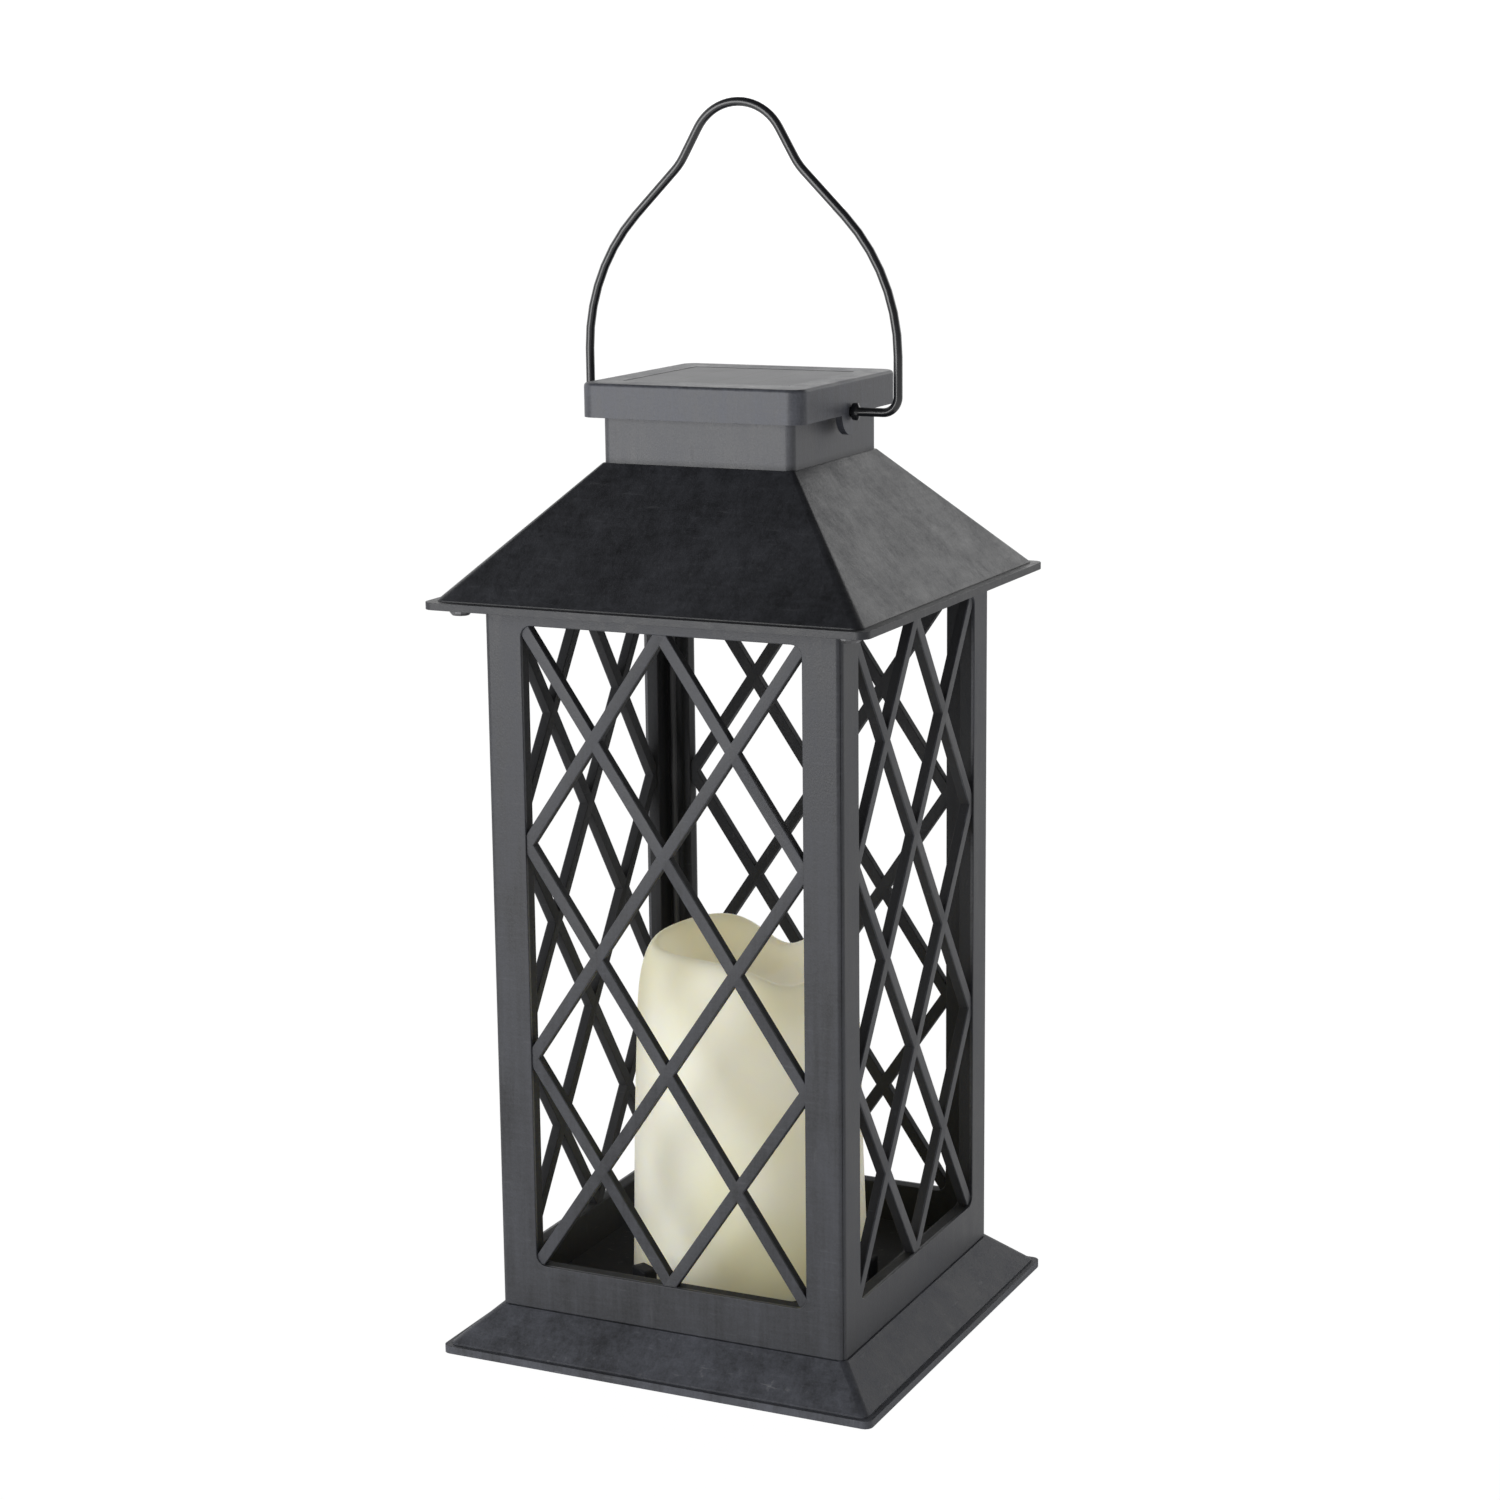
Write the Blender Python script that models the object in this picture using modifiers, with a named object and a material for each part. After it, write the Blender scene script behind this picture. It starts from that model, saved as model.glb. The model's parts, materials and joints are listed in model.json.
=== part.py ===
"""Square candle lantern: a lattice-sided plastic housing with an electric candle and a wire bail.

Metres, +Z up. The origin is the centre of the footprint, on the ground. +X runs along the front
face and -Y is the front.
"""
import math

import bmesh
import bpy
from mathutils import Matrix, Vector

MM = 0.001
GAP = 0.3 * MM                    # clearance kept between neighbouring pieces
SQUARE = math.sqrt(2.0)           # corner distance over half-width of a square
SIDES = 16                        # facets of small round features

# base
BASE_HALF = 75.0 * MM
BASE_LIP_H = 2.5 * MM
SKIRT_FOOT_HALF = 73.2 * MM
SKIRT_TOP_HALF = 60.9 * MM
LEDGE_Z = 14.0 * MM
FLOOR_Z = 16.0 * MM
PLASTIC = 1.6 * MM                # wall of the moulded parts

# lattice walls
BODY_HALF = 60.4 * MM
FRAME_DEPTH = 5.0 * MM
CORNER_R = 2.0 * MM
BODY_TOP_Z = 243.0 * MM
OPEN_HALF = 47.5 * MM
OPEN_LOW_Z = 29.0 * MM
OPEN_HIGH_Z = 237.5 * MM
OPEN_CORNER_R = 3.5 * MM
LATTICE_ROWS = 6
BAR_WIDTH = 3.8 * MM
BAR_DEPTH = 3.4 * MM
BAR_RECESS = 0.6 * MM

# roof
EAVE_HALF = 74.3 * MM
EAVE_LIP_H = 2.3 * MM
SLOPE_FOOT_HALF = 71.5 * MM
SLOPE_FOOT_Z = 245.7 * MM
SLOPE_TOP_HALF = 32.8 * MM
SLOPE_TOP_Z = 285.3 * MM
ROOF_WALL = 2.0 * MM
NECK_HALF = 32.5 * MM
NECK_R = 2.8 * MM
NECK_TOP_Z = 304.0 * MM
CEILING_HALF = 69.4 * MM
COLLAR_DROP = 4.4 * MM
EAVE_SCREW_XY = 65.5 * MM

# lid
LID_HALF = 37.7 * MM
LID_R = 5.0 * MM
LID_LOW_Z = 299.8 * MM
LID_TOP_Z = 310.4 * MM
LID_WALL = 2.0 * MM
LID_DECK = 2.4 * MM
EAR_R = 7.2 * MM
LID_SCREW_XY = 24.5 * MM
CELL_SIZE = (56.0 * MM, 50.0 * MM, 1.2 * MM)

# bail handle
PIVOT_Z = 300.5 * MM
WIRE_R = 1.4 * MM
ARM_X = 53.4 * MM
SHOULDER_Z = 342.6 * MM
SHOULDER_R = 60.0 * MM
NAPE_X = 20.3 * MM
NAPE_Z = 375.7 * MM
NAPE_R = 20.0 * MM
CROWN_X = 9.35 * MM
CROWN_Z = 394.8 * MM
CROWN_R = 16.0 * MM

# candle
CANDLE_FOOT_R = 39.0 * MM
CANDLE_TOP_R = 36.4 * MM
CANDLE_WALL = 2.2 * MM
CANDLE_SIDE_Z = 105.0 * MM
CANDLE_RIM_Z = 120.0 * MM
RIM = ((0.0, 111.0), (12.0, 111.5), (18.0, 112.8), (21.8, 114.9), (24.6, 118.0), (26.4, 121.0), (27.9, 122.8),
       (29.4, 123.6), (30.9, 123.2), (32.3, 121.6), (33.7, 118.6), (35.0, 114.8), (35.9, 110.5))
RIM_INSIDE = ((33.0, 110.3), (30.5, 115.5), (28.8, 117.0), (26.5, 114.0), (22.0, 111.3),
              (12.0, 109.2), (0.0, 108.7))
RIM_WAVES = ((135.0, 25.0, 1.0), (-145.0, 25.0, -1.0), (88.0, 22.0, -9.4),
             (-35.0, 28.0, -9.0), (25.0, 30.0, -4.0))
RIM_RISE = 4.4 * MM
DISC_R = 36.4 * MM
DISC_H = 2.0 * MM
FLOOR_HOLE_R = 31.0 * MM
CANDLE_SCREW_R = 33.6 * MM

# what the candle holds
CELL_R = 5.25 * MM
CELL_L = 44.5 * MM
CELL_Y = 9.5 * MM
TRAY_LOW_X = -25.5 * MM
TRAY_HIGH_X = 22.5 * MM
TRAY_HALF_Y = 5.85 * MM
TRAY_TOP_Z = 30.3 * MM
DOOR_END_X = 28.6 * MM
SWITCH_Y = -14.0 * MM
SWITCH_TRAVEL = 3.4 * MM
BOARD_Z = 26.0 * MM
LAMP_Z = 96.3 * MM
LEAD_XY = 51.5 * MM

PLASTIC_COLOUR = (0.042, 0.042, 0.044)
STEEL_COLOUR = (0.55, 0.55, 0.56)


def clear_scene():
    for old in list(bpy.data.objects):
        bpy.data.objects.remove(old, do_unlink=True)


def make_collection(name):
    made = bpy.data.collections.new(name)
    bpy.context.scene.collection.children.link(made)
    return made


def material(name, colour, roughness, metallic=0.0):
    made = bpy.data.materials.new(name)
    made.use_nodes = True
    shader = made.node_tree.nodes["Principled BSDF"]
    shader.inputs["Base Color"].default_value = (*colour, 1.0)
    shader.inputs["Roughness"].default_value = roughness
    shader.inputs["Metallic"].default_value = metallic
    return made


def new_object(name, data, group):
    made = bpy.data.objects.new(name, data)
    group.objects.link(made)
    return made


def finish(part, colour, roughness, metallic=0.0):
    """Gives a part its own material."""
    part.data.materials.clear()
    part.data.materials.append(material(part.name, colour, roughness, metallic))
    return part


def solid_of(source):
    """Turns a curve or an object with modifiers into a plain welded mesh object."""
    bpy.context.view_layer.update()
    graph = bpy.context.evaluated_depsgraph_get()
    mesh = bpy.data.meshes.new_from_object(source.evaluated_get(graph))
    shape = bmesh.new()
    shape.from_mesh(mesh)
    bmesh.ops.remove_doubles(shape, verts=shape.verts, dist=0.00001)
    shape.to_mesh(mesh)
    shape.free()
    made = new_object(source.name, mesh, source.users_collection[0])
    made.matrix_world = source.matrix_world.copy()
    name = source.name
    bpy.data.objects.remove(source, do_unlink=True)
    made.name = name
    return made


def combine(part, other, operation):
    """Joins or cuts a part with a helper solid, applies it and puts the helper away."""
    step = part.modifiers.new(operation.lower(), "BOOLEAN")
    step.operation = operation
    step.solver = "EXACT"
    step.object = other
    made = solid_of(part)
    other.hide_render = True
    other.display_type = "WIRE"
    if other.name not in cutters.objects:
        for group in list(other.users_collection):
            group.objects.unlink(other)
        cutters.objects.link(other)
    return made


def join(part, *others):
    for other in others:
        part = combine(part, other, "UNION")
    return part


def cut(part, *others):
    for other in others:
        part = combine(part, other, "DIFFERENCE")
    return part


def prism(name, outlines, low, high, group):
    """Flat outlines in plan, filled and raised from one height to another; inner ones are holes."""
    data = bpy.data.curves.new(name, "CURVE")
    data.dimensions = "2D"
    data.fill_mode = "BOTH"
    data.extrude = (high - low) / 2.0
    for outline in outlines:
        line = data.splines.new("POLY")
        line.points.add(len(outline) - 1)
        for point, (x, y) in zip(line.points, outline):
            point.co = (x, y, 0.0, 1.0)
        line.use_cyclic_u = True
    made = new_object(name, data, group)
    made.location.z = (low + high) / 2.0
    return solid_of(made)


def rounded_square(half_x, half_y, radius, steps=5):
    """Plan outline of a rectangle with round corners."""
    points = []
    for quarter, (sx, sy) in enumerate(((1, 1), (-1, 1), (-1, -1), (1, -1))):
        for step in range(steps + 1):
            angle = math.radians(90.0 * (quarter + step / steps))
            points.append((sx * (half_x - radius) + radius * math.cos(angle),
                           sy * (half_y - radius) + radius * math.sin(angle)))
    return points


def turned(name, profile, steps, group, turn=0.0):
    """A profile of (radius, height) points turned about Z; four steps make a square piece."""
    mesh = bpy.data.meshes.new(name)
    edges = [(i, i + 1) for i in range(len(profile) - 1)]
    if profile[0][0] > 0.0:
        edges.append((len(profile) - 1, 0))
    mesh.from_pydata([(r, 0.0, z) for r, z in profile], edges, [])
    made = new_object(name, mesh, group)
    spin = made.modifiers.new("turn", "SCREW")
    spin.steps = steps
    spin.render_steps = steps
    spin.use_merge_vertices = True
    spin.merge_threshold = 0.00001
    spin.use_smooth_shade = False
    made.rotation_euler.z = turn
    return solid_of(made)


def square_turned(name, profile, group):
    """A square moulding from half-widths: the profile is turned in four steps, corners outwards."""
    return turned(name, [(half * SQUARE, z) for half, z in profile], 4, group, math.radians(45.0))


def block(name, low, high, group):
    """A box between two opposite corners."""
    bpy.ops.mesh.primitive_cube_add(size=1.0)
    made = bpy.context.active_object
    made.name = name
    for old in list(made.users_collection):
        old.objects.unlink(made)
    group.objects.link(made)
    size = Vector(high) - Vector(low)
    centre = (Vector(high) + Vector(low)) / 2.0
    made.data.transform(Matrix.Translation(centre) @ Matrix.Diagonal((*size, 1.0)))
    return made


def rod(name, start, end, radius, group, sides=SIDES):
    """A round bar between two points."""
    length = (Vector(end) - Vector(start)).length
    bpy.ops.mesh.primitive_cylinder_add(vertices=sides, radius=radius, depth=length)
    made = bpy.context.active_object
    made.name = name
    for old in list(made.users_collection):
        old.objects.unlink(made)
    group.objects.link(made)
    aim = (Vector(end) - Vector(start)).to_track_quat("Z", "Y").to_matrix().to_4x4()
    made.data.transform(Matrix.Translation((Vector(start) + Vector(end)) / 2.0) @ aim)
    return made


def corners_of(distance):
    return [(sx * distance, sy * distance) for sx in (-1, 1) for sy in (-1, 1)]


def fasteners(name, places, head_r, head_h, shank_r, shank_l):
    """Identical pan-head screws. A place is (x, y, z under the head, +1 pointing up or -1 down)."""
    profile = [(0.0, shank_l), (shank_r * 0.5, shank_l), (shank_r, shank_l - shank_r), (shank_r, 0.0),
               (head_r, 0.0), (head_r, -head_h * 0.6), (head_r * 0.8, -head_h), (0.0, -head_h)]
    for index, (x, y, z, way) in enumerate(places):
        screw = turned(f"{name}_{index + 1}" if len(places) > 1 else name, profile, 12, parts)
        screw.location = (x, y, z)
        screw.rotation_euler.x = 0.0 if way > 0 else math.pi
        finish(screw, STEEL_COLOUR, 0.35, 1.0)


def rounded_path(corners, step_deg=9.0):
    """Points along a bent wire in the XZ plane. A corner is (x, z, bend radius)."""
    points = [Vector(corners[0][:2])]
    for before, here, after in zip(corners, corners[1:], corners[2:]):
        way_in = (Vector(here[:2]) - Vector(before[:2])).normalized()
        way_out = (Vector(after[:2]) - Vector(here[:2])).normalized()
        turn = way_in.angle_signed(way_out)
        side = Vector((way_in.y, -way_in.x)) * (1.0 if turn > 0.0 else -1.0)
        start = Vector(here[:2]) - way_in * here[2] * math.tan(abs(turn) / 2.0)
        centre = start + side * here[2]
        count = max(2, round(abs(math.degrees(turn)) / step_deg))
        for step in range(count + 1):
            angle = -turn * step / count
            points.append(centre + Matrix.Rotation(angle, 2) @ (start - centre))
    points.append(Vector(corners[-1][:2]))
    return points


def wire(name, points, radius, group):
    """A round wire with flat ends through 3D points."""
    data = bpy.data.curves.new(name, "CURVE")
    data.dimensions = "3D"
    data.bevel_depth = radius
    data.bevel_resolution = 2
    data.use_fill_caps = True
    line = data.splines.new("POLY")
    line.points.add(len(points) - 1)
    for point, place in zip(line.points, points):
        point.co = (*place, 1.0)
    return solid_of(new_object(name, data, group))


def smooth_route(points, spacing):
    """Points about evenly spaced along a smooth curve through the route's own points."""
    route = [Vector(p) for p in points]
    padded = [2 * route[0] - route[1]] + route + [2 * route[-1] - route[-2]]
    made = []
    for a, b, c, d in zip(padded, padded[1:], padded[2:], padded[3:]):
        count = max(1, round((c - b).length / spacing))
        for step in range(count):
            t = step / count
            made.append(0.5 * (2 * b + (c - a) * t + (2 * a - 5 * b + 4 * c - d) * t * t
                               + (3 * b - a - 3 * c + d) * t ** 3))
    return made + [route[-1]]


# ---------------------------------------------------------------- base

def base_skirt():
    slope = (LEDGE_Z - 3.0 * MM) / (SKIRT_FOOT_HALF - SKIRT_TOP_HALF)
    drop = 1.8 * MM * math.hypot(1.0, slope)
    floor_half = BODY_HALF - FRAME_DEPTH - GAP
    under_z = LEDGE_Z - PLASTIC
    inner_top = SKIRT_TOP_HALF + (LEDGE_Z - drop - under_z) / slope
    inner_foot = SKIRT_TOP_HALF + (LEDGE_Z - drop - 1.9 * MM) / slope
    part = square_turned("base_skirt", [
        (0.0, FLOOR_Z), (floor_half, FLOOR_Z), (floor_half, LEDGE_Z), (SKIRT_TOP_HALF, LEDGE_Z),
        (SKIRT_FOOT_HALF, 3.0 * MM), (SKIRT_FOOT_HALF, BASE_LIP_H), (BASE_HALF, BASE_LIP_H),
        (BASE_HALF, 0.0), (BASE_HALF - 2.2 * MM, 0.0), (BASE_HALF - 2.2 * MM, 1.0 * MM),
        (inner_foot, 1.9 * MM), (inner_top, under_z), (floor_half - 1.8 * MM, under_z),
        (floor_half - 1.8 * MM, FLOOR_Z - PLASTIC), (0.0, FLOOR_Z - PLASTIC)], parts)
    for index in range(3):
        lug = block("lug", (CANDLE_FOOT_R + 0.5 * MM, -4.0 * MM, FLOOR_Z - 1.0 * MM),
                    (CANDLE_FOOT_R + 5.5 * MM, 4.0 * MM, FLOOR_Z + 8.0 * MM), cutters)
        lug.data.transform(Matrix.Rotation(math.radians(120.0 * index), 4, "Z"))
        part = join(part, lug)
    part = cut(part, rod("floor_hole", (0, 0, 0), (0, 0, 0.03), FLOOR_HOLE_R, cutters, 48))
    for x, y in candle_screw_places():
        part = cut(part, rod("candle_screw_hole", (x, y, 0.005), (x, y, 0.03), 1.4 * MM, cutters))
    for x, y in wall_screw_places():
        part = cut(part, rod("wall_screw_hole", (x, y, 0.005), (x, y, 0.03), 1.4 * MM, cutters))
    part = cut(part, rod("lead_hole", (-LEAD_XY, LEAD_XY, 0.005), (-LEAD_XY, LEAD_XY, 0.03),
                         1.8 * MM, cutters))
    return finish(part, PLASTIC_COLOUR, 0.5)


def candle_screw_places():
    return [(CANDLE_SCREW_R * math.cos(math.radians(a)), CANDLE_SCREW_R * math.sin(math.radians(a)))
            for a in (60.0, 180.0, 300.0)]


def wall_screw_places():
    middle = BODY_HALF - FRAME_DEPTH / 2.0
    return [(0.0, -middle), (middle, 0.0), (0.0, middle), (-middle, 0.0)]


# ---------------------------------------------------------------- lattice walls

def wall_plan():
    """Plan outline of the front wall: mitred ends, the outer corners rounded up to the mitre."""
    inner_half = BODY_HALF - FRAME_DEPTH
    mitre = GAP / 2.0
    stop = math.asin(mitre / CORNER_R)
    arc = []
    for step in range(5):
        angle = math.radians(-90.0) + (math.radians(45.0) - stop) * step / 4.0
        arc.append((BODY_HALF - CORNER_R + CORNER_R * math.cos(angle),
                    -BODY_HALF + CORNER_R + CORNER_R * math.sin(angle)))
    right = arc + [(inner_half - mitre * SQUARE, -inner_half)]
    return right + [(-x, y) for x, y in reversed(right)]


def lattice_hole(u, row, pitch_x, pitch_z, shrink, spill):
    """One diamond opening, clipped a little way inside the frame where it meets the edge."""
    a = pitch_x * shrink
    b = pitch_z * shrink
    x = -OPEN_HALF + u * pitch_x
    z = OPEN_HIGH_Z - row * pitch_z
    if u in (0, 4):
        inward = 1.0 if u == 0 else -1.0
        edge = b * (1.0 - spill / a)
        return [(x - inward * spill, z - edge), (x, z - b), (x + inward * a, z), (x, z + b),
                (x - inward * spill, z + edge)]
    if row in (0, LATTICE_ROWS):
        inward = -1.0 if row == 0 else 1.0
        edge = a * (1.0 - spill / b)
        return [(x - edge, z - inward * spill), (x - a, z), (x, z + inward * b), (x + a, z),
                (x + edge, z - inward * spill)]
    return [(x - a, z), (x, z - b), (x + a, z), (x, z + b)]


def lattice_wall():
    """The front wall: a rounded window frame and the diamond lattice set back inside it."""
    frame = prism("wall", [wall_plan()], LEDGE_Z + GAP, BODY_TOP_Z - GAP, parts)
    mid_z = (OPEN_LOW_Z + OPEN_HIGH_Z) / 2.0
    half_z = (OPEN_HIGH_Z - OPEN_LOW_Z) / 2.0
    upright = Matrix.Translation((0.0, 0.0, mid_z)) @ Matrix.Rotation(math.radians(90.0), 4, "X")
    window = prism("window", [rounded_square(OPEN_HALF, half_z, OPEN_CORNER_R)],
                   BODY_HALF - 2.0 * FRAME_DEPTH, BODY_HALF + FRAME_DEPTH, cutters)
    stand(window, upright)
    frame = cut(frame, window)
    x, y = wall_screw_places()[0]
    for low, high in ((0.0, LEDGE_Z + 6.0 * MM), (BODY_TOP_Z - 4.7 * MM, 0.3)):
        frame = cut(frame, rod("wall_pilot", (x, y, low), (x, y, high), 1.4 * MM, cutters))

    pitch_x = OPEN_HALF / 2.0
    pitch_z = 2.0 * half_z / LATTICE_ROWS
    reach = pitch_x * pitch_z / math.hypot(pitch_x, pitch_z)
    shrink = 1.0 - BAR_WIDTH / 2.0 / reach
    edge = 0.7 * MM
    outlines = [[(-OPEN_HALF - edge, -half_z - edge), (OPEN_HALF + edge, -half_z - edge),
                 (OPEN_HALF + edge, half_z + edge), (-OPEN_HALF - edge, half_z + edge)]]
    for u in range(5):
        for row in range(LATTICE_ROWS + 1):
            if (u + row) % 2 == 1:
                hole = lattice_hole(u, row, pitch_x, pitch_z, shrink, edge / 2.0)
                outlines.append([(x, z - mid_z) for x, z in hole])
    front = BODY_HALF - BAR_RECESS
    lattice = prism("lattice", outlines, front - BAR_DEPTH, front, cutters)
    stand(lattice, upright)
    return join(frame, lattice)


def stand(part, matrix):
    """Moves a part's own mesh, leaving its object at the origin."""
    part.data.transform(matrix @ part.matrix_world)
    part.matrix_world = Matrix.Identity(4)


def lattice_walls():
    first = lattice_wall()
    stand(first, Matrix.Identity(4))
    for index, name in enumerate(("front_wall", "right_wall", "back_wall", "left_wall")):
        wall = first if index == 0 else new_object(name, first.data.copy(), parts)
        wall.name = name
        wall.rotation_euler.z = math.radians(90.0) * index
        finish(wall, PLASTIC_COLOUR, 0.5)


# ---------------------------------------------------------------- roof

def slope_z(half):
    rise = (SLOPE_TOP_Z - SLOPE_FOOT_Z) / (SLOPE_FOOT_HALF - SLOPE_TOP_HALF)
    return SLOPE_FOOT_Z + (SLOPE_FOOT_HALF - half) * rise


def inner_slope_z(half):
    rise = (SLOPE_TOP_Z - SLOPE_FOOT_Z) / (SLOPE_FOOT_HALF - SLOPE_TOP_HALF)
    return slope_z(half) - ROOF_WALL * math.hypot(1.0, rise)


def roof_shell():
    lip_z = BODY_TOP_Z + EAVE_LIP_H
    inner_half = NECK_HALF - 1.8 * MM
    seat_half = CEILING_HALF + 0.4 * MM
    part = square_turned("roof_shell", [
        (0.0, SLOPE_TOP_Z), (SLOPE_TOP_HALF, SLOPE_TOP_Z), (SLOPE_FOOT_HALF, SLOPE_FOOT_Z),
        (SLOPE_FOOT_HALF, lip_z), (EAVE_HALF, lip_z), (EAVE_HALF, BODY_TOP_Z), (seat_half, BODY_TOP_Z),
        (seat_half, inner_slope_z(seat_half)), (inner_half - 1.0 * MM, inner_slope_z(inner_half - 1.0 * MM)),
        (0.0, inner_slope_z(inner_half - 1.0 * MM))], parts)
    part = join(part, prism("neck", [rounded_square(NECK_HALF, NECK_HALF, NECK_R)],
                            SLOPE_TOP_Z - 1.0 * MM, NECK_TOP_Z, cutters))
    part = cut(part, prism("neck_hollow", [rounded_square(inner_half, inner_half, 1.5 * MM)],
                           SLOPE_TOP_Z - 5.0 * MM, NECK_TOP_Z - PLASTIC, cutters))
    part = cut(part, rod("lead_port", (0, 0, 0.29), (0, 0, 0.31), 10.0 * MM, cutters, 24))
    for x, y in corners_of(LID_SCREW_XY):
        part = cut(part, rod("lid_screw_hole", (x, y, 0.295), (x, y, 0.31), 1.7 * MM, cutters))
    for x, y in corners_of(EAVE_SCREW_XY):
        part = join(part, rod("eave_boss", (x, y, 244.9 * MM), (x, y, 248.3 * MM), 3.0 * MM, cutters))
        part = cut(part, rod("eave_pilot", (x, y, 0.24), (x, y, 247.6 * MM), 1.6 * MM, cutters))
    return finish(part, PLASTIC_COLOUR, 0.45)


def ceiling_plate():
    outer = BODY_HALF - FRAME_DEPTH - GAP
    inner = outer - 1.8 * MM
    top = BODY_TOP_Z + PLASTIC
    part = square_turned("ceiling_plate", [
        (0.0, top), (CEILING_HALF, top), (CEILING_HALF, BODY_TOP_Z), (outer, BODY_TOP_Z),
        (outer, BODY_TOP_Z - COLLAR_DROP), (inner, BODY_TOP_Z - COLLAR_DROP), (inner, BODY_TOP_Z),
        (0.0, BODY_TOP_Z)], parts)
    for x, y in corners_of(EAVE_SCREW_XY):
        part = cut(part, rod("eave_screw_hole", (x, y, 0.24), (x, y, 0.25), 1.6 * MM, cutters))
    for x, y in wall_screw_places():
        part = cut(part, rod("wall_screw_hole", (x, y, 0.24), (x, y, 0.25), 1.4 * MM, cutters))
    part = cut(part, rod("lead_hole", (-LEAD_XY, LEAD_XY, 0.235), (-LEAD_XY, LEAD_XY, 0.25),
                         1.5 * MM, cutters))
    return finish(part, PLASTIC_COLOUR, 0.55)


# ---------------------------------------------------------------- lid and handle

def round_top(part, height, width):
    """Rounds the outer edge that lies at one height."""
    shape = bmesh.new()
    shape.from_mesh(part.data)
    level = height - part.location.z
    edges = [e for e in shape.edges if all(abs(v.co.z - level) < 0.00001 for v in e.verts)
             and any(abs(f.normal.z) < 0.5 for f in e.link_faces)]
    bmesh.ops.bevel(shape, geom=edges, offset=width, segments=3, affect="EDGES", profile=0.5)
    shape.to_mesh(part.data)
    shape.free()


def lid_shell():
    part = prism("lid_shell", [rounded_square(LID_HALF, LID_HALF, LID_R, 6)], LID_LOW_Z, LID_TOP_Z, parts)
    round_top(part, LID_TOP_Z, 1.0 * MM)
    inner = LID_HALF - LID_WALL
    part = cut(part, prism("lid_hollow", [rounded_square(inner, inner, LID_R - LID_WALL)],
                           LID_LOW_Z - 0.005, LID_TOP_Z - LID_DECK, cutters))
    for side in (-1, 1):
        part = join(part, rod("ear", (side * (inner - 0.2 * MM), 0, PIVOT_Z),
                              (side * (LID_HALF - 0.1 * MM), 0, PIVOT_Z), EAR_R, cutters, 32))
        part = cut(part, rod("ear_hole", (side * 0.034, 0, PIVOT_Z), (side * 0.04, 0, PIVOT_Z),
                             WIRE_R + GAP, cutters))
    seat_x = CELL_SIZE[0] / 2.0 + GAP
    seat_y = CELL_SIZE[1] / 2.0 + GAP
    part = cut(part, block("cell_seat", (-seat_x, -seat_y, LID_TOP_Z - CELL_SIZE[2] - 2 * GAP),
                           (seat_x, seat_y, LID_TOP_Z + 0.01), cutters))
    part = cut(part, block("cell_window", (-20.0 * MM, -17.0 * MM, LID_TOP_Z - 0.01),
                           (20.0 * MM, 17.0 * MM, LID_TOP_Z + 0.01), cutters))
    for x, y in corners_of(LID_SCREW_XY):
        part = join(part, rod("lid_boss", (x, y, NECK_TOP_Z + GAP), (x, y, LID_TOP_Z - 2.2 * MM),
                              3.2 * MM, cutters))
        part = cut(part, rod("lid_pilot", (x, y, 0.3), (x, y, LID_TOP_Z - 2.6 * MM), 1.7 * MM, cutters))
    return finish(part, PLASTIC_COLOUR, 0.4)


def solar_panel():
    half_x, half_y, thick = CELL_SIZE[0] / 2.0, CELL_SIZE[1] / 2.0, CELL_SIZE[2]
    part = block("solar_panel", (-half_x, -half_y, LID_TOP_Z - thick - GAP),
                 (half_x, half_y, LID_TOP_Z - GAP), parts)
    return finish(part, (0.01, 0.012, 0.02), 0.15)


def handle_wire():
    """The bail, modelled about its own pivot line."""
    bends = [(33.3 * MM, 0.0, 0.0), (ARM_X, 0.0, 5.0 * MM), (ARM_X, SHOULDER_Z - PIVOT_Z, SHOULDER_R),
             (NAPE_X, NAPE_Z - PIVOT_Z, NAPE_R), (CROWN_X, CROWN_Z - PIVOT_Z, CROWN_R)]
    bends += [(-x, z, r) for x, z, r in reversed(bends)]
    points = [(p.x, 0.0, p.y) for p in rounded_path(bends)]
    part = wire("handle_wire", points, WIRE_R, parts)
    for side in (-1, 1):
        part = join(part, rod("collar", (side * 38.1 * MM, 0, 0), (side * 39.8 * MM, 0, 0),
                              2.7 * MM, cutters))
        part = join(part, rod("end_head", (side * 33.1 * MM, 0, 0), (side * 35.3 * MM, 0, 0),
                              2.4 * MM, cutters))
    pivot = bpy.data.objects.new("handle_pivot", None)
    parts.objects.link(pivot)
    pivot.location.z = PIVOT_Z
    part.parent = pivot
    return finish(part, (0.012, 0.012, 0.013), 0.3, 0.6)


# ---------------------------------------------------------------- candle

def rim_lift(angle):
    """How far the melted rim stands above its drawn section at one angle round the candle."""
    lift = RIM_RISE
    for centre, width, height in RIM_WAVES:
        off = (math.degrees(angle) - centre + 180.0) % 360.0 - 180.0
        lift += height * MM * math.exp(-(off / width) ** 2)
    return lift


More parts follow.
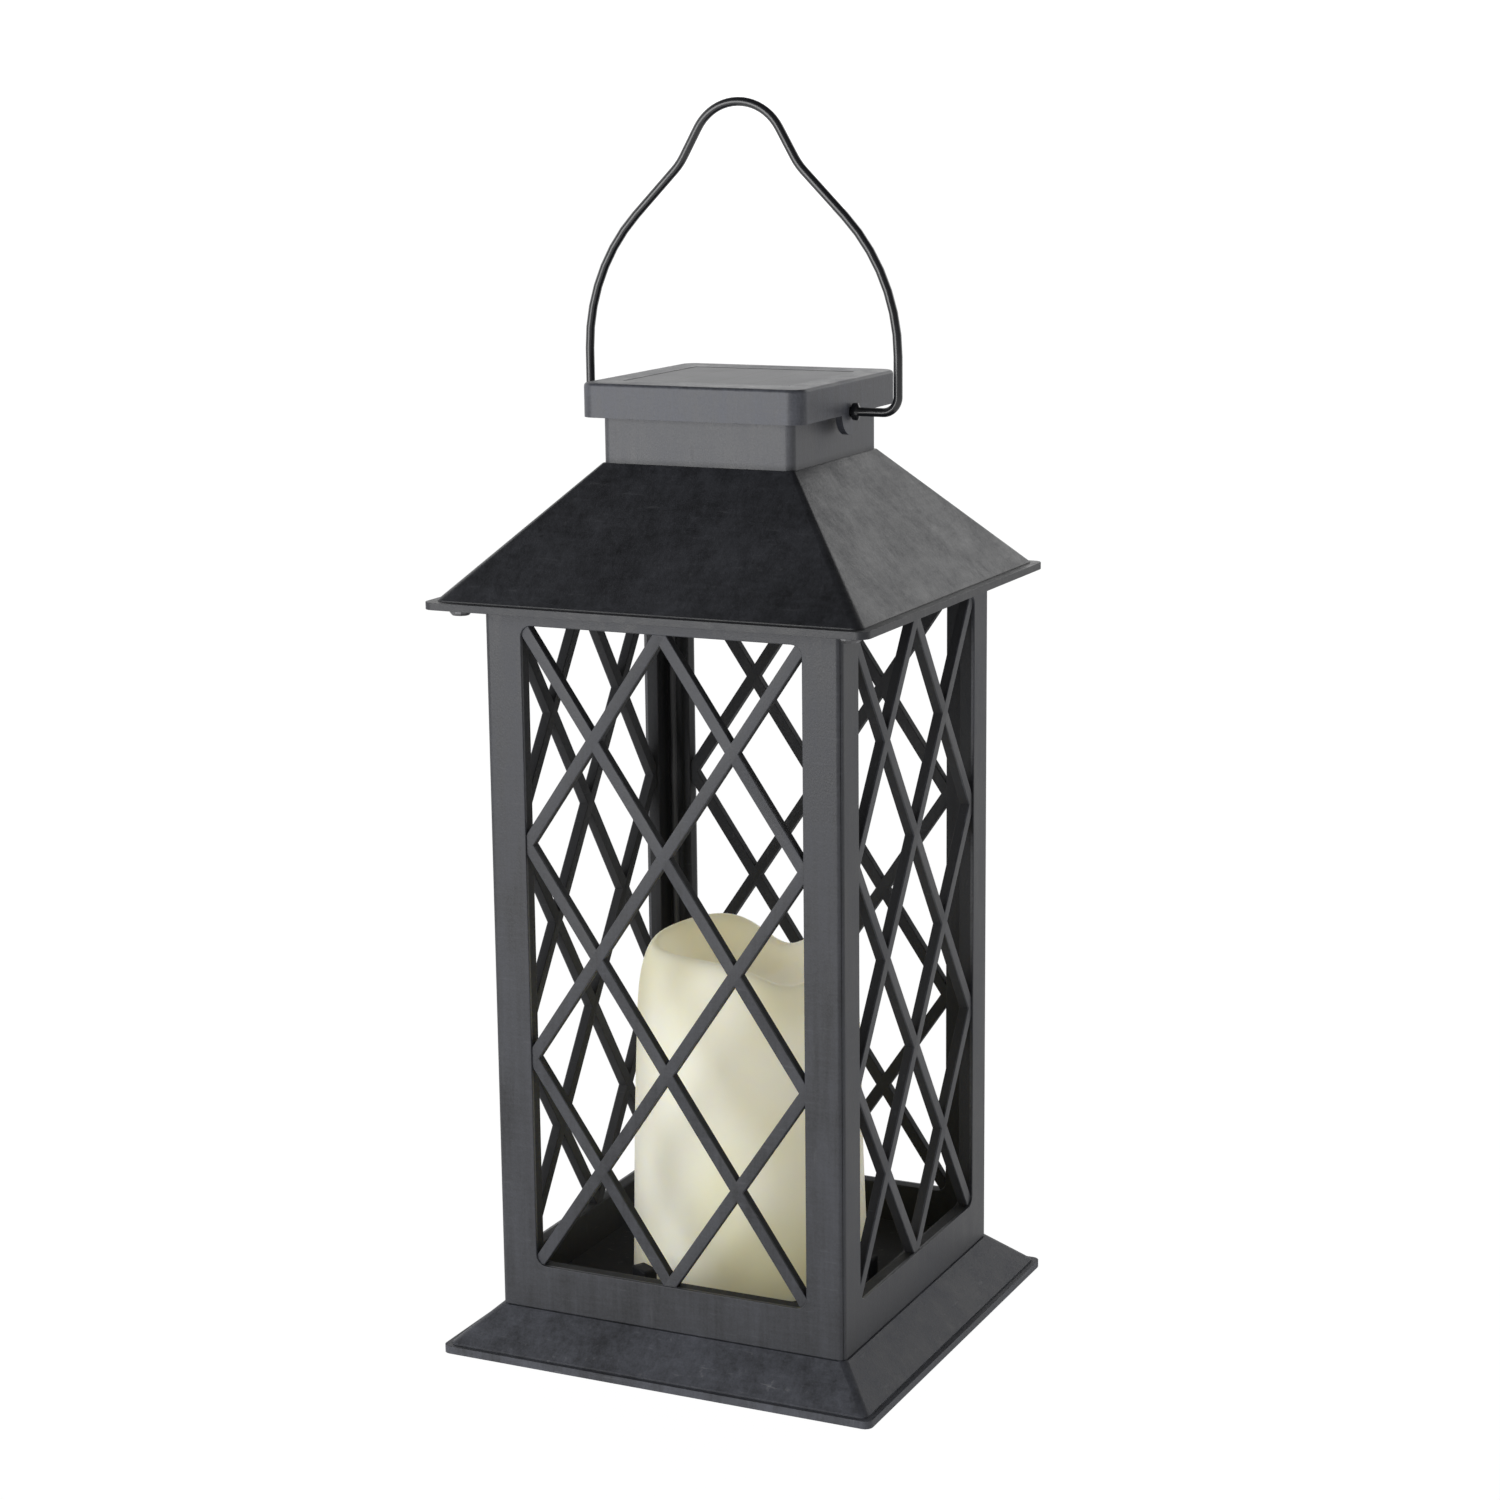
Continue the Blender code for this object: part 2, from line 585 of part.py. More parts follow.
def candle_shell():
    foot_z = FLOOR_Z + GAP
    outer = [(x * MM, z * MM) for x, z in RIM] + [(CANDLE_TOP_R, CANDLE_SIDE_Z), (CANDLE_FOOT_R, foot_z)]
    inner = [(CANDLE_FOOT_R - CANDLE_WALL, foot_z), (CANDLE_TOP_R - CANDLE_WALL, CANDLE_SIDE_Z)]
    inner += [(x * MM, z * MM) for x, z in RIM_INSIDE]
    part = turned("candle_shell", outer + inner, 48, parts)
    for vertex in part.data.vertices:
        x, y, z = vertex.co
        share = min(1.0, max(0.0, (z - CANDLE_SIDE_Z) / (CANDLE_RIM_Z - CANDLE_SIDE_Z)))
        share *= share * (3.0 - 2.0 * share)
        inward = min(1.0, math.hypot(x, y) / (26.0 * MM))
        vertex.co.z += rim_lift(math.atan2(y, x)) * share * inward * inward
    return finish(part, (0.75, 0.68, 0.45), 0.45)


def candle_base():
    low = FLOOR_Z + GAP
    top = low + DISC_H
    part = rod("candle_base", (0, 0, low), (0, 0, top), DISC_R, parts, 48)
    tray = block("tray", (TRAY_LOW_X - 1.2 * MM, CELL_Y - TRAY_HALF_Y - 1.2 * MM, top - 1.0 * MM),
                 (TRAY_HIGH_X + 1.2 * MM, CELL_Y + TRAY_HALF_Y + 1.2 * MM, TRAY_TOP_Z), cutters)
    door_boss_x = (TRAY_HIGH_X + DOOR_END_X) / 2.0 + 0.4 * MM
    boss = rod("door_boss", (door_boss_x, CELL_Y, top - 1.0 * MM), (door_boss_x, CELL_Y, top + 5.0 * MM),
               2.6 * MM, cutters)
    part = join(part, tray, boss)
    part = cut(part, block("tray_hollow", (TRAY_LOW_X, CELL_Y - TRAY_HALF_Y, low - 0.01),
                           (TRAY_HIGH_X, CELL_Y + TRAY_HALF_Y, TRAY_TOP_Z - 1.0 * MM), cutters))
    part = cut(part, block("door_seat", (TRAY_LOW_X - 0.1 * MM, CELL_Y - TRAY_HALF_Y - 0.4 * MM, low - 0.01),
                           (DOOR_END_X + GAP, CELL_Y + TRAY_HALF_Y + 0.4 * MM, low + 1.2 * MM), cutters))
    part = cut(part, rod("door_pilot", (door_boss_x, CELL_Y, 0.01), (door_boss_x, CELL_Y, top + 4.0 * MM),
                         1.3 * MM, cutters))
    part = cut(part, block("switch_slot", (-3.9 * MM, SWITCH_Y - 1.4 * MM, 0.01),
                           (3.9 * MM, SWITCH_Y + 1.4 * MM, 0.03), cutters))
    part = cut(part, rod("lead_hole", (-22.0 * MM, -8.0 * MM, 0.01), (-22.0 * MM, -8.0 * MM, 0.03),
                         1.4 * MM, cutters))
    for x, y in candle_screw_places():
        part = join(part, rod("base_boss", (x, y, top - 1.0 * MM), (x, y, top + 6.0 * MM), 2.5 * MM, cutters))
        part = cut(part, rod("base_pilot", (x, y, 0.01), (x, y, top + 5.0 * MM), 1.4 * MM, cutters))
    for x in (-14.0 * MM, 14.0 * MM):
        part = join(part, rod("board_post", (x, -20.0 * MM, top - 1.0 * MM), (x, -20.0 * MM, BOARD_Z - GAP),
                              2.0 * MM, cutters))
    return finish(part, (0.6, 0.58, 0.5), 0.5)


def battery_door():
    low = FLOOR_Z + GAP
    part = block("battery_door", (TRAY_LOW_X + GAP, CELL_Y - TRAY_HALF_Y, low),
                 (DOOR_END_X, CELL_Y + TRAY_HALF_Y, low + 0.9 * MM), parts)
    screw_x = (TRAY_HIGH_X + DOOR_END_X) / 2.0 + 0.4 * MM
    part = cut(part, rod("door_hole", (screw_x, CELL_Y, 0.01), (screw_x, CELL_Y, 0.03), 1.3 * MM, cutters))
    return finish(part, (0.6, 0.58, 0.5), 0.5)


def battery_cell():
    axis_z = FLOOR_Z + GAP + 0.9 * MM + GAP + CELL_R
    start = TRAY_LOW_X + 2.9 * MM
    part = rod("battery_cell", (start, CELL_Y, axis_z), (start + CELL_L - 1.0 * MM, CELL_Y, axis_z),
               CELL_R, parts, 24)
    button = rod("button", (start + CELL_L - 2.0 * MM, CELL_Y, axis_z),
                 (start + CELL_L - 0.4 * MM, CELL_Y, axis_z), 1.9 * MM, cutters)
    return finish(join(part, button), (0.05, 0.25, 0.12), 0.35)


def battery_spring():
    """A short coil that presses on the flat end of the cell."""
    axis_z = FLOOR_Z + GAP + 0.9 * MM + GAP + CELL_R
    turns, steps, radius, wire_r = 2.0, 12, 3.0 * MM, 0.3 * MM
    length = 1.7 * MM
    points = []
    for step in range(int(turns * steps) + 1):
        angle = 2.0 * math.pi * step / steps
        x = TRAY_LOW_X + GAP + wire_r + length * step / (turns * steps)
        points.append((x, CELL_Y + radius * math.cos(angle), axis_z + radius * math.sin(angle)))
    return finish(wire("battery_spring", points, wire_r, parts), STEEL_COLOUR, 0.25, 1.0)


def battery_contact():
    axis_z = FLOOR_Z + GAP + 0.9 * MM + GAP + CELL_R
    part = block("battery_contact", (TRAY_HIGH_X - 0.8 * MM, CELL_Y - 4.5 * MM, axis_z - 4.5 * MM),
                 (TRAY_HIGH_X - 0.4 * MM, CELL_Y + 4.5 * MM, axis_z + 4.5 * MM), parts)
    return finish(part, STEEL_COLOUR, 0.25, 1.0)


def circuit_board():
    thick = 1.2 * MM
    part = block("circuit_board", (-20.0 * MM, -25.0 * MM, BOARD_Z),
                 (20.0 * MM, -3.0 * MM, BOARD_Z + thick), parts)
    top = BOARD_Z + thick
    chips = ((-9.0, -14.0, 6.0, 4.0, 1.5), (8.0, -12.0, 4.0, 4.0, 2.2), (2.0, -20.0, 3.0, 2.0, 1.0))
    for x, y, size_x, size_y, height in chips:
        chip = block("chip", ((x - size_x / 2) * MM, (y - size_y / 2) * MM, top - 0.3 * MM),
                     ((x + size_x / 2) * MM, (y + size_y / 2) * MM, top + height * MM), cutters)
        part = join(part, chip)
    return finish(part, (0.02, 0.16, 0.06), 0.4)


def switch_body():
    low = FLOOR_Z + DISC_H + 2 * GAP
    part = block("switch_body", (-4.5 * MM, SWITCH_Y - 2.1 * MM, low),
                 (4.5 * MM, SWITCH_Y + 2.1 * MM, low + 3.8 * MM), parts)
    part = cut(part, block("slider_slot", (-3.7 * MM, SWITCH_Y - 1.3 * MM, low - 0.01),
                           (3.7 * MM, SWITCH_Y + 1.3 * MM, low + 1.6 * MM), cutters))
    return finish(part, (0.3, 0.3, 0.31), 0.4, 0.8)


def switch_slider():
    """The thumb piece, at the off end of its travel."""
    width = 3.0 * MM
    start = -(SWITCH_TRAVEL + width) / 2.0
    part = block("switch_slider", (0.0, -1.0 * MM, 0.0), (width, 1.0 * MM, 4.6 * MM), parts)
    part.location = (start, SWITCH_Y, 14.9 * MM)
    return finish(part, (0.02, 0.02, 0.02), 0.5)


def led_holder():
    foot = TRAY_TOP_Z + GAP
    part = turned("led_holder", [
        (1.5 * MM, LAMP_Z - GAP), (4.4 * MM, LAMP_Z - GAP), (4.4 * MM, LAMP_Z - 6.0 * MM),
        (3.2 * MM, LAMP_Z - 9.0 * MM), (3.2 * MM, foot + 6.0 * MM),
        (9.0 * MM, foot + 2.0 * MM), (9.0 * MM, foot), (1.5 * MM, foot)], 24, parts)
    return finish(part, (0.6, 0.58, 0.5), 0.5)


def led_lamp():
    r = 2.5 * MM
    angles = [math.radians(a) for a in range(0, 91, 15)]
    dome = [(r * math.sin(a), LAMP_Z + 6.1 * MM + r * math.cos(a)) for a in angles]
    flange = [(r, LAMP_Z + 1.0 * MM), (2.9 * MM, LAMP_Z + 1.0 * MM), (2.9 * MM, LAMP_Z), (0.0, LAMP_Z)]
    part = turned("led_lamp", dome + flange, 24, parts)
    return finish(part, (0.8, 0.7, 0.4), 0.1)


def led_lead():
    route = [(0, 0, LAMP_Z - GAP), (0, 0, 70 * MM), (0, 0, 45 * MM), (0, 0, 35 * MM), (0, 0, 30.9 * MM),
             (0, -0.6 * MM, 29.6 * MM), (0, -2.4 * MM, 28.6 * MM), (0, -6.0 * MM, 28.4 * MM)]
    return finish(wire("led_lead", smooth_route(route, 3.0 * MM), 0.7 * MM, parts), (0.3, 0.02, 0.02), 0.5)


def solar_lead():
    xy = LEAD_XY
    route = [(0, 0, 308.0 * MM), (0, 0, 304.0 * MM), (-2.0 * MM, 2.0 * MM, 296.0 * MM),
             (-14.0 * MM, 14.0 * MM, 282.0 * MM), (-34.0 * MM, 34.0 * MM, 268.0 * MM),
             (-47.0 * MM, 47.0 * MM, 257.0 * MM), (-xy, xy, 248.0 * MM), (-xy, xy, 240.0 * MM),
             (-xy, xy, 180.0 * MM), (-xy, xy, 100.0 * MM), (-xy, xy, 30.0 * MM), (-xy, xy, 20.0 * MM),
             (-xy, xy, 14.6 * MM), (-xy + 1.0 * MM, xy - 1.8 * MM, 12.6 * MM),
             (-xy + 4.0 * MM, xy - 7.5 * MM, 12.4 * MM), (-38.0 * MM, 25.0 * MM, 12.6 * MM),
             (-26.5 * MM, 1.0 * MM, 12.6 * MM),
             (-23.0 * MM, -6.0 * MM, 13.4 * MM), (-22.0 * MM, -8.0 * MM, 16.0 * MM),
             (-22.0 * MM, -8.0 * MM, 24.0 * MM)]
    return finish(wire("solar_lead", smooth_route(route, 4.0 * MM), 1.0 * MM, parts), (0.01, 0.01, 0.01), 0.5)


def screws():
    floor_under = FLOOR_Z - PLASTIC - GAP
    fasteners("candle_screw", [(x, y, floor_under, 1) for x, y in candle_screw_places()],
              2.2 * MM, 1.7 * MM, 1.0 * MM, 8.0 * MM)
    door_x = (TRAY_HIGH_X + DOOR_END_X) / 2.0 + 0.4 * MM
    fasteners("battery_door_screw", [(door_x, CELL_Y, FLOOR_Z, 1)], 2.0 * MM, 1.2 * MM, 1.0 * MM, 5.0 * MM)
    ledge_under = LEDGE_Z - PLASTIC - GAP
    plate_top = BODY_TOP_Z + PLASTIC + GAP
    walls = [(x, y, ledge_under, 1) for x, y in wall_screw_places()]
    walls += [(x, y, plate_top, -1) for x, y in wall_screw_places()]
    fasteners("wall_screw", walls, 2.0 * MM, 1.5 * MM, 1.0 * MM, 6.0 * MM)
    fasteners("eave_screw", [(x, y, BODY_TOP_Z - GAP, 1) for x, y in corners_of(EAVE_SCREW_XY)],
              3.4 * MM, 2.1 * MM, 1.3 * MM, 4.7 * MM)
    deck_under = NECK_TOP_Z - PLASTIC - GAP
    fasteners("lid_screw", [(x, y, deck_under, 1) for x, y in corners_of(LID_SCREW_XY)],
              2.8 * MM, 1.9 * MM, 1.3 * MM, 5.0 * MM)


clear_scene()
parts = make_collection("candle_lantern")
cutters = make_collection("cutters")
base_skirt()
lattice_walls()
ceiling_plate()
roof_shell()
lid_shell()
solar_panel()
handle_wire()
candle_shell()
candle_base()
battery_door()
battery_cell()
battery_spring()
battery_contact()
circuit_board()
switch_body()
switch_slider()
led_holder()
led_lamp()
led_lead()
solar_lead()
screws()
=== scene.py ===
# %% [markdown]
# # A lattice candle lantern
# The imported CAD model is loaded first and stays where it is. Every visible moulding is then
# modelled again with finer edges, each in its own step, and stands in for its CAD node.

# %% Load the frame
import json
import math

import bmesh
import bpy
from mathutils import Matrix, Vector


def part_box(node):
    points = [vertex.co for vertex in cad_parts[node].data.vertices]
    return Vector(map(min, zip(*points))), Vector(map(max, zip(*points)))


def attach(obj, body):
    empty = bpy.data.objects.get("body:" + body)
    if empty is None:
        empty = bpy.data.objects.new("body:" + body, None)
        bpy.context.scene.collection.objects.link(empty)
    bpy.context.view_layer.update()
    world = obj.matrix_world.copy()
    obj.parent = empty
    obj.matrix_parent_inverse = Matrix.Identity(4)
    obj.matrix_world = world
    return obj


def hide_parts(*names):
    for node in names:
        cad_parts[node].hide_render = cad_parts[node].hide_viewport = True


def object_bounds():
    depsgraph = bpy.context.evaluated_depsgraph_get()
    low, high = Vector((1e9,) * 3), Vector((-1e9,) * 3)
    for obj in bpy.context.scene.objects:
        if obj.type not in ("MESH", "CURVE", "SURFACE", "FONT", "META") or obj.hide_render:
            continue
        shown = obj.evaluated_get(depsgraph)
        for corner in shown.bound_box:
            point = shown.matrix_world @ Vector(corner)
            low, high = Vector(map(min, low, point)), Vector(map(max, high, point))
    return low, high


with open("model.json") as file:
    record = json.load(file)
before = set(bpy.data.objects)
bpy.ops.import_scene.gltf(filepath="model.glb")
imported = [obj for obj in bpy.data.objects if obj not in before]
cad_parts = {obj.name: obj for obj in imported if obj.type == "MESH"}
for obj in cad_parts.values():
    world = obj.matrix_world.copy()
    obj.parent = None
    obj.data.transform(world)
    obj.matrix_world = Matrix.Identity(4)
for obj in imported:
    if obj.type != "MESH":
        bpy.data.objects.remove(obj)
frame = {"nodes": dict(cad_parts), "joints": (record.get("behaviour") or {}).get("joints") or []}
cad_low, cad_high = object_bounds()
nodes = frame["nodes"]

# %% [markdown]
# ## Camera
# The lantern is seen from a little above and from the front right corner, with a long lens so that
# its upright edges stay almost parallel. The camera is placed on a sphere round a point on the
# lantern's axis and then rolled by a fraction of a degree.

# %% Camera
MM = 0.001
VIEW_AZIMUTH = math.radians(25.345)
VIEW_ELEVATION = math.radians(11.964)
VIEW_ROLL = math.radians(-0.62)
VIEW_DISTANCE = 1020.6 * MM
VIEW_HEIGHT = 190.3 * MM
VIEW_SIDE = 1.6 * MM
LENS = 76.13


def make_camera():
    flat = Vector((math.sin(VIEW_AZIMUTH), -math.cos(VIEW_AZIMUTH), 0.0))
    back = flat * math.cos(VIEW_ELEVATION) + Vector((0, 0, math.sin(VIEW_ELEVATION)))
    level = Vector((math.cos(VIEW_AZIMUTH), math.sin(VIEW_AZIMUTH), 0.0))
    rise = back.cross(level)
    across = math.cos(VIEW_ROLL) * level + math.sin(VIEW_ROLL) * rise
    upward = back.cross(across)
    place = Vector((0, 0, VIEW_HEIGHT)) + level * VIEW_SIDE + back * VIEW_DISTANCE
    bpy.ops.object.camera_add()
    camera = bpy.context.object
    camera.data.lens = LENS
    camera.data.sensor_width = 36.0
    turn = Matrix((across, upward, back)).transposed().to_4x4()
    camera.matrix_world = Matrix.Translation(place) @ turn
    bpy.context.scene.camera = camera
    return camera


print("camera at", [round(v, 3) for v in make_camera().location])

# %% [markdown]
# ## Light
# Black plastic shows what it reflects. A soft panel to the front left fills the faces that look that
# way, a raised one behind on the right fills the right-hand slopes, and a dim ceiling keeps the
# roof's front slope dark. The floor should look pure white but not light the base from below as
# strongly as that, so the camera sees a glowing white sheet, and the lantern reflects a grey one
# just under it.

# %% World, panels and floors
FRONT_LEVEL = 0.10
BACK_LEVEL = 1.2
OVERHEAD_LEVEL = 0.07
TOWARDS_BRIGHT = (-0.5, 0.87, 0.0)
FLOOR_R = 9.0
SHEET_GAP = 0.5 * MM


def linked(tree, kind, operation, *values):
    """A Math, Vector Math or Map Range node of the world, with its inputs filled or linked."""
    made = tree.nodes.new(kind)
    if operation:
        made.operation = operation
    for index, value in enumerate(values):
        if isinstance(value, bpy.types.NodeSocket):
            tree.links.new(value, made.inputs[index])
        else:
            made.inputs[index].default_value = value
    return made


def soft_rise(tree, value, start, end):
    """Rises smoothly from 0 to 1 between two values of a socket."""
    rise = linked(tree, "ShaderNodeMapRange", None, value, start, end)
    rise.interpolation_type = "SMOOTHSTEP"
    return rise.outputs["Result"]


def make_world():
    """White low down behind and to the left, dim in front on the right, dark overhead."""
    world = bpy.data.worlds.new("studio")
    bpy.context.scene.world = world
    world.use_nodes = True
    tree = world.node_tree
    way = tree.nodes.new("ShaderNodeTexCoord").outputs["Generated"]
    height = linked(tree, "ShaderNodeSeparateXYZ", None, way).outputs["Z"]
    facing = linked(tree, "ShaderNodeVectorMath", "DOT_PRODUCT", way, TOWARDS_BRIGHT).outputs["Value"]
    around = linked(tree, "ShaderNodeMapRange", None, soft_rise(tree, facing, -0.25, 0.5), 0.0, 1.0,
                    FRONT_LEVEL, BACK_LEVEL).outputs["Result"]
    low = soft_rise(tree, height, 0.80, 0.34)
    total = linked(tree, "ShaderNodeMath", "MULTIPLY_ADD", around, low, OVERHEAD_LEVEL).outputs[0]
    tree.links.new(total, tree.nodes["Background"].inputs["Strength"])
    tree.nodes["Background"].inputs["Color"].default_value = (1.0, 1.0, 1.0, 1.0)


def add_panel(name, place, aim, width, height, power):
    """A soft rectangular light that faces a point."""
    bpy.ops.object.light_add(type="AREA", location=place)
    panel = bpy.context.object
    panel.name = name
    panel.data.shape = "RECTANGLE"
    panel.data.size = width
    panel.data.size_y = height
    panel.data.energy = power
    away = (Vector(place) - Vector(aim)).normalized()
    panel.rotation_euler = away.to_track_quat("Z", "Y").to_euler()
    return panel


def make_floor(name, height, paint_grey, glow):
    """A round sheet of scenery that may glow a little."""
    bpy.ops.mesh.primitive_circle_add(vertices=96, radius=FLOOR_R, fill_type="NGON",
                                      location=(0, 0, height))
    floor = bpy.context.object
    floor.name = name
    paint = bpy.data.materials.new(name)
    paint.use_nodes = True
    shader = paint.node_tree.nodes["Principled BSDF"]
    shader.inputs["Base Color"].default_value = (paint_grey, paint_grey, paint_grey, 1.0)
    shader.inputs["Roughness"].default_value = 0.9
    shader.inputs["Specular IOR Level"].default_value = 0.1
    shader.inputs["Emission Color"].default_value = (1.0, 1.0, 1.0, 1.0)
    shader.inputs["Emission Strength"].default_value = glow
    floor.data.materials.append(paint)
    return floor


make_world()
add_panel("front_left_panel", (-0.50, -1.06, 0.34), (0, 0, 0.22), 0.75, 0.7, 7.6)
add_panel("back_right_panel", (0.62, 1.35, 0.80), (0, 0, 0.2), 1.0, 0.6, 0.8)
seen_floor = make_floor("white_sheet", cad_low.z, 0.0, 1.0)
for kind in ("diffuse", "glossy", "transmission", "shadow", "volume_scatter"):
    setattr(seen_floor, "visible_" + kind, False)
bounce_floor = make_floor("grey_sheet", cad_low.z - SHEET_GAP, 0.5, 0.55)
bounce_floor.visible_camera = False
bpy.context.scene.view_settings.view_transform = "Standard"

# %% [markdown]
# ## Shader maths as expressions
# A small class holds one socket of a material. Adding or multiplying two of them adds a Math node,
# so a pattern reads as a formula. Every other node comes from one method.


# %% Socket arithmetic
class Value:
    """One output socket of a finish, on which arithmetic adds Math nodes."""

    def __init__(self, finish, socket):
        self.finish = finish
        self.socket = socket

    def maths(self, operation, other=0.0, swapped=False):
        pair = (other, self) if swapped else (self, other)
        return self.finish.node("ShaderNodeMath", {"operation": operation}, dict(enumerate(pair)))

    def __add__(self, other):
        return self.maths("ADD", other)

    def __radd__(self, other):
        return self.maths("ADD", other, True)

    def __sub__(self, other):
        return self.maths("SUBTRACT", other)

    def __rsub__(self, other):
        return self.maths("SUBTRACT", other, True)

    def __mul__(self, other):
        return self.maths("MULTIPLY", other)

    def __rmul__(self, other):
        return self.maths("MULTIPLY", other, True)

    def __gt__(self, other):
        return self.maths("GREATER_THAN", other)

    def clamped(self):
        return self.finish.node("ShaderNodeClamp", {}, {"Value": self})


class Finish:
    """A material around one Principled shader."""

    def __init__(self, name, **constants):
        self.material = bpy.data.materials.new(name)
        self.material.use_nodes = True
        self.tree = self.material.node_tree
        self.shader = self.tree.nodes["Principled BSDF"]
        for socket, value in constants.items():
            self.shader.inputs[socket.replace("_", " ")].default_value = value
        self.place = self.node("ShaderNodeTexCoord", {}, {}, "Object")

    def node(self, kind, settings, values, output=0):
        made = self.tree.nodes.new(kind)
        for key, value in settings.items():
            setattr(made, key, value)
        for key, value in values.items():
            if isinstance(value, Value):
                self.tree.links.new(value.socket, made.inputs[key])
            else:
                made.inputs[key].default_value = value
        return Value(self, made.outputs[output])

    def feed(self, socket, value):
        self.tree.links.new(value.socket, self.shader.inputs[socket])

    def parts(self):
        """The object coordinates one by one."""
        x = self.node("ShaderNodeSeparateXYZ", {}, {"Vector": self.place}, "X")
        return [Value(self, x.socket.node.outputs[axis]) for axis in "XYZ"]

    def stretched(self, x, y, z):
        return self.node("ShaderNodeMapping", {}, {"Vector": self.place, "Scale": (x, y, z)})

    def noise(self, per_metre, detail=3.0, place=None):
        return self.node("ShaderNodeTexNoise", {}, {"Vector": place or self.place, "Scale": per_metre,
                                                    "Detail": detail, "Roughness": 0.55})

    def blend(self, share, first, second):
        """A colour between two others."""
        return self.node("ShaderNodeMix", {"data_type": "RGBA"}, {0: share, 6: first, 7: second}, 2)

    def relief(self, height, depth, strength=1.0):
        self.feed("Normal", self.node("ShaderNodeBump", {}, {"Height": height, "Distance": depth,
                                                             "Strength": strength}))


def grey(level, tint=0.0):
    """A grey that leans to blue."""
    return (level * (1.0 - 0.25 * tint), level, level * (1.0 + tint), 1.0)


# %% [markdown]
# ## Moulded plastic
# The housing is injection moulded in black plastic that has greyed a little. Close up it has a fine
# spark-eroded grain, faint flow marks that run along the walls, hairline scratches and pale scuffs
# where it was handled. Broad noise moves the grey, stretched noise gives the flow marks, and the two
# thresholded ones the scratches and scuffs. The neck under the lid is painted lighter, as painted
# light for the brighter top, and the faces inside are left matt and given painted shade, nearly black.


# %% Plastic finish
SLOPE_TOP_Z = 285.3 * MM
# limits of the faces inside the lantern, which get painted shade
INSIDE_DEPTH = 1.1 * MM
INSIDE_HALF = -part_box("front_wall")[0].y - INSIDE_DEPTH
INSIDE_TOP = 242.9 * MM
NEVER = 1.0


def moulded_plastic(name, level, roughness, scuffs=0.3, painted_light_above=NEVER):
    """Plastic of one grey and gloss, with stronger or weaker scuffs, and painted light above a height."""
    skin = Finish(name, Roughness=roughness, IOR=1.5)
    x, y, height = skin.parts()
    # painted light: above the given height the grey is lifted to a lighter one, for the brighter top
    painted_top_light = ((height - painted_light_above) * 500.0).clamped()
    out = x.maths("ABSOLUTE").maths("MAXIMUM", y.maths("ABSOLUTE"))
    # painted shade: marks the faces inside the walls and over the floor, below the roof
    inside = out.maths("LESS_THAN", INSIDE_HALF) * height.maths("LESS_THAN", INSIDE_TOP)
    cloud = skin.noise(30.0, 3.0)
    flow = skin.noise(150.0, 4.0, skin.stretched(1.0, 1.0, 0.22))
    streak = skin.noise(620.0, 2.0, skin.stretched(1.0, 1.0, 0.05))
    fleck = skin.noise(420.0, 5.0, skin.stretched(1.0, 1.0, 0.18))
    grain = skin.noise(1500.0, 3.0)
    swirl = skin.noise(900.0, 3.0, skin.stretched(0.12, 0.12, 1.0))
    rub = ((fleck - 0.64) * 9.0).clamped() * (cloud * scuffs)
    hairline = ((swirl - 0.66) * 12.0).clamped() * (cloud * scuffs)
    mix = cloud * 0.26 + flow * 0.26 + streak * 0.18 + swirl * 0.12 + grain * 0.18
    shade = ((mix - 0.5) * 4.4 + 0.5).clamped()
    body = skin.blend(shade, grey(level * 0.52, 0.16), grey(level * 1.55, 0.20))
    # painted shade: the inside faces are blended most of the way to near black
    body = skin.blend(inside * 0.8, body, grey(0.010, 0.1))
    # painted light: above that height the body grey is swapped for a lighter one
    body = skin.blend(painted_top_light, body, skin.blend(shade, grey(0.048, 0.10), grey(0.116, 0.12)))
    skin.feed("Base Color", skin.blend((rub + hairline).clamped(), body, grey(level * 3.4, 0.05)))
    skin.feed("Roughness", roughness + (shade - 0.5) * 0.20 + rub * 0.2 + inside * 0.35)
    skin.relief(grain * 0.5 + streak * 0.25 + flow * 0.25, 0.16 * MM, 0.6)
    return skin.material


housing_plastic = moulded_plastic("housing_plastic", 0.036, 0.43)
base_plastic = moulded_plastic("base_plastic", 0.066, 0.56, 0.7)
# painted light: the lid's grey is about twice the housing's, to stand for the brighter light up at the top
lid_plastic = moulded_plastic("lid_plastic", 0.075, 0.42, 0.2)
# the roof's neck above the slope top gets painted light, a lighter grey
roof_plastic = moulded_plastic("roof_plastic", 0.024, 0.42, 0.5, SLOPE_TOP_Z)
print("plastics", housing_plastic.name, lid_plastic.name, roof_plastic.name)

# %% [markdown]
# ## Working in edit mode
# An operator acts on everything that is selected, so each step first clears the selection and then
# picks faces or edges by where they are or which way they look.


# %% Selection helpers
WELD = 0.01 * MM


def take(thing):
    """Makes one object the only selected and the active one."""
    if bpy.context.object and bpy.context.object.mode != "OBJECT":
        bpy.ops.object.mode_set(mode="OBJECT")
    bpy.ops.object.select_all(action="DESELECT")
    thing.select_set(True)
    bpy.context.view_layer.objects.active = thing
    return thing


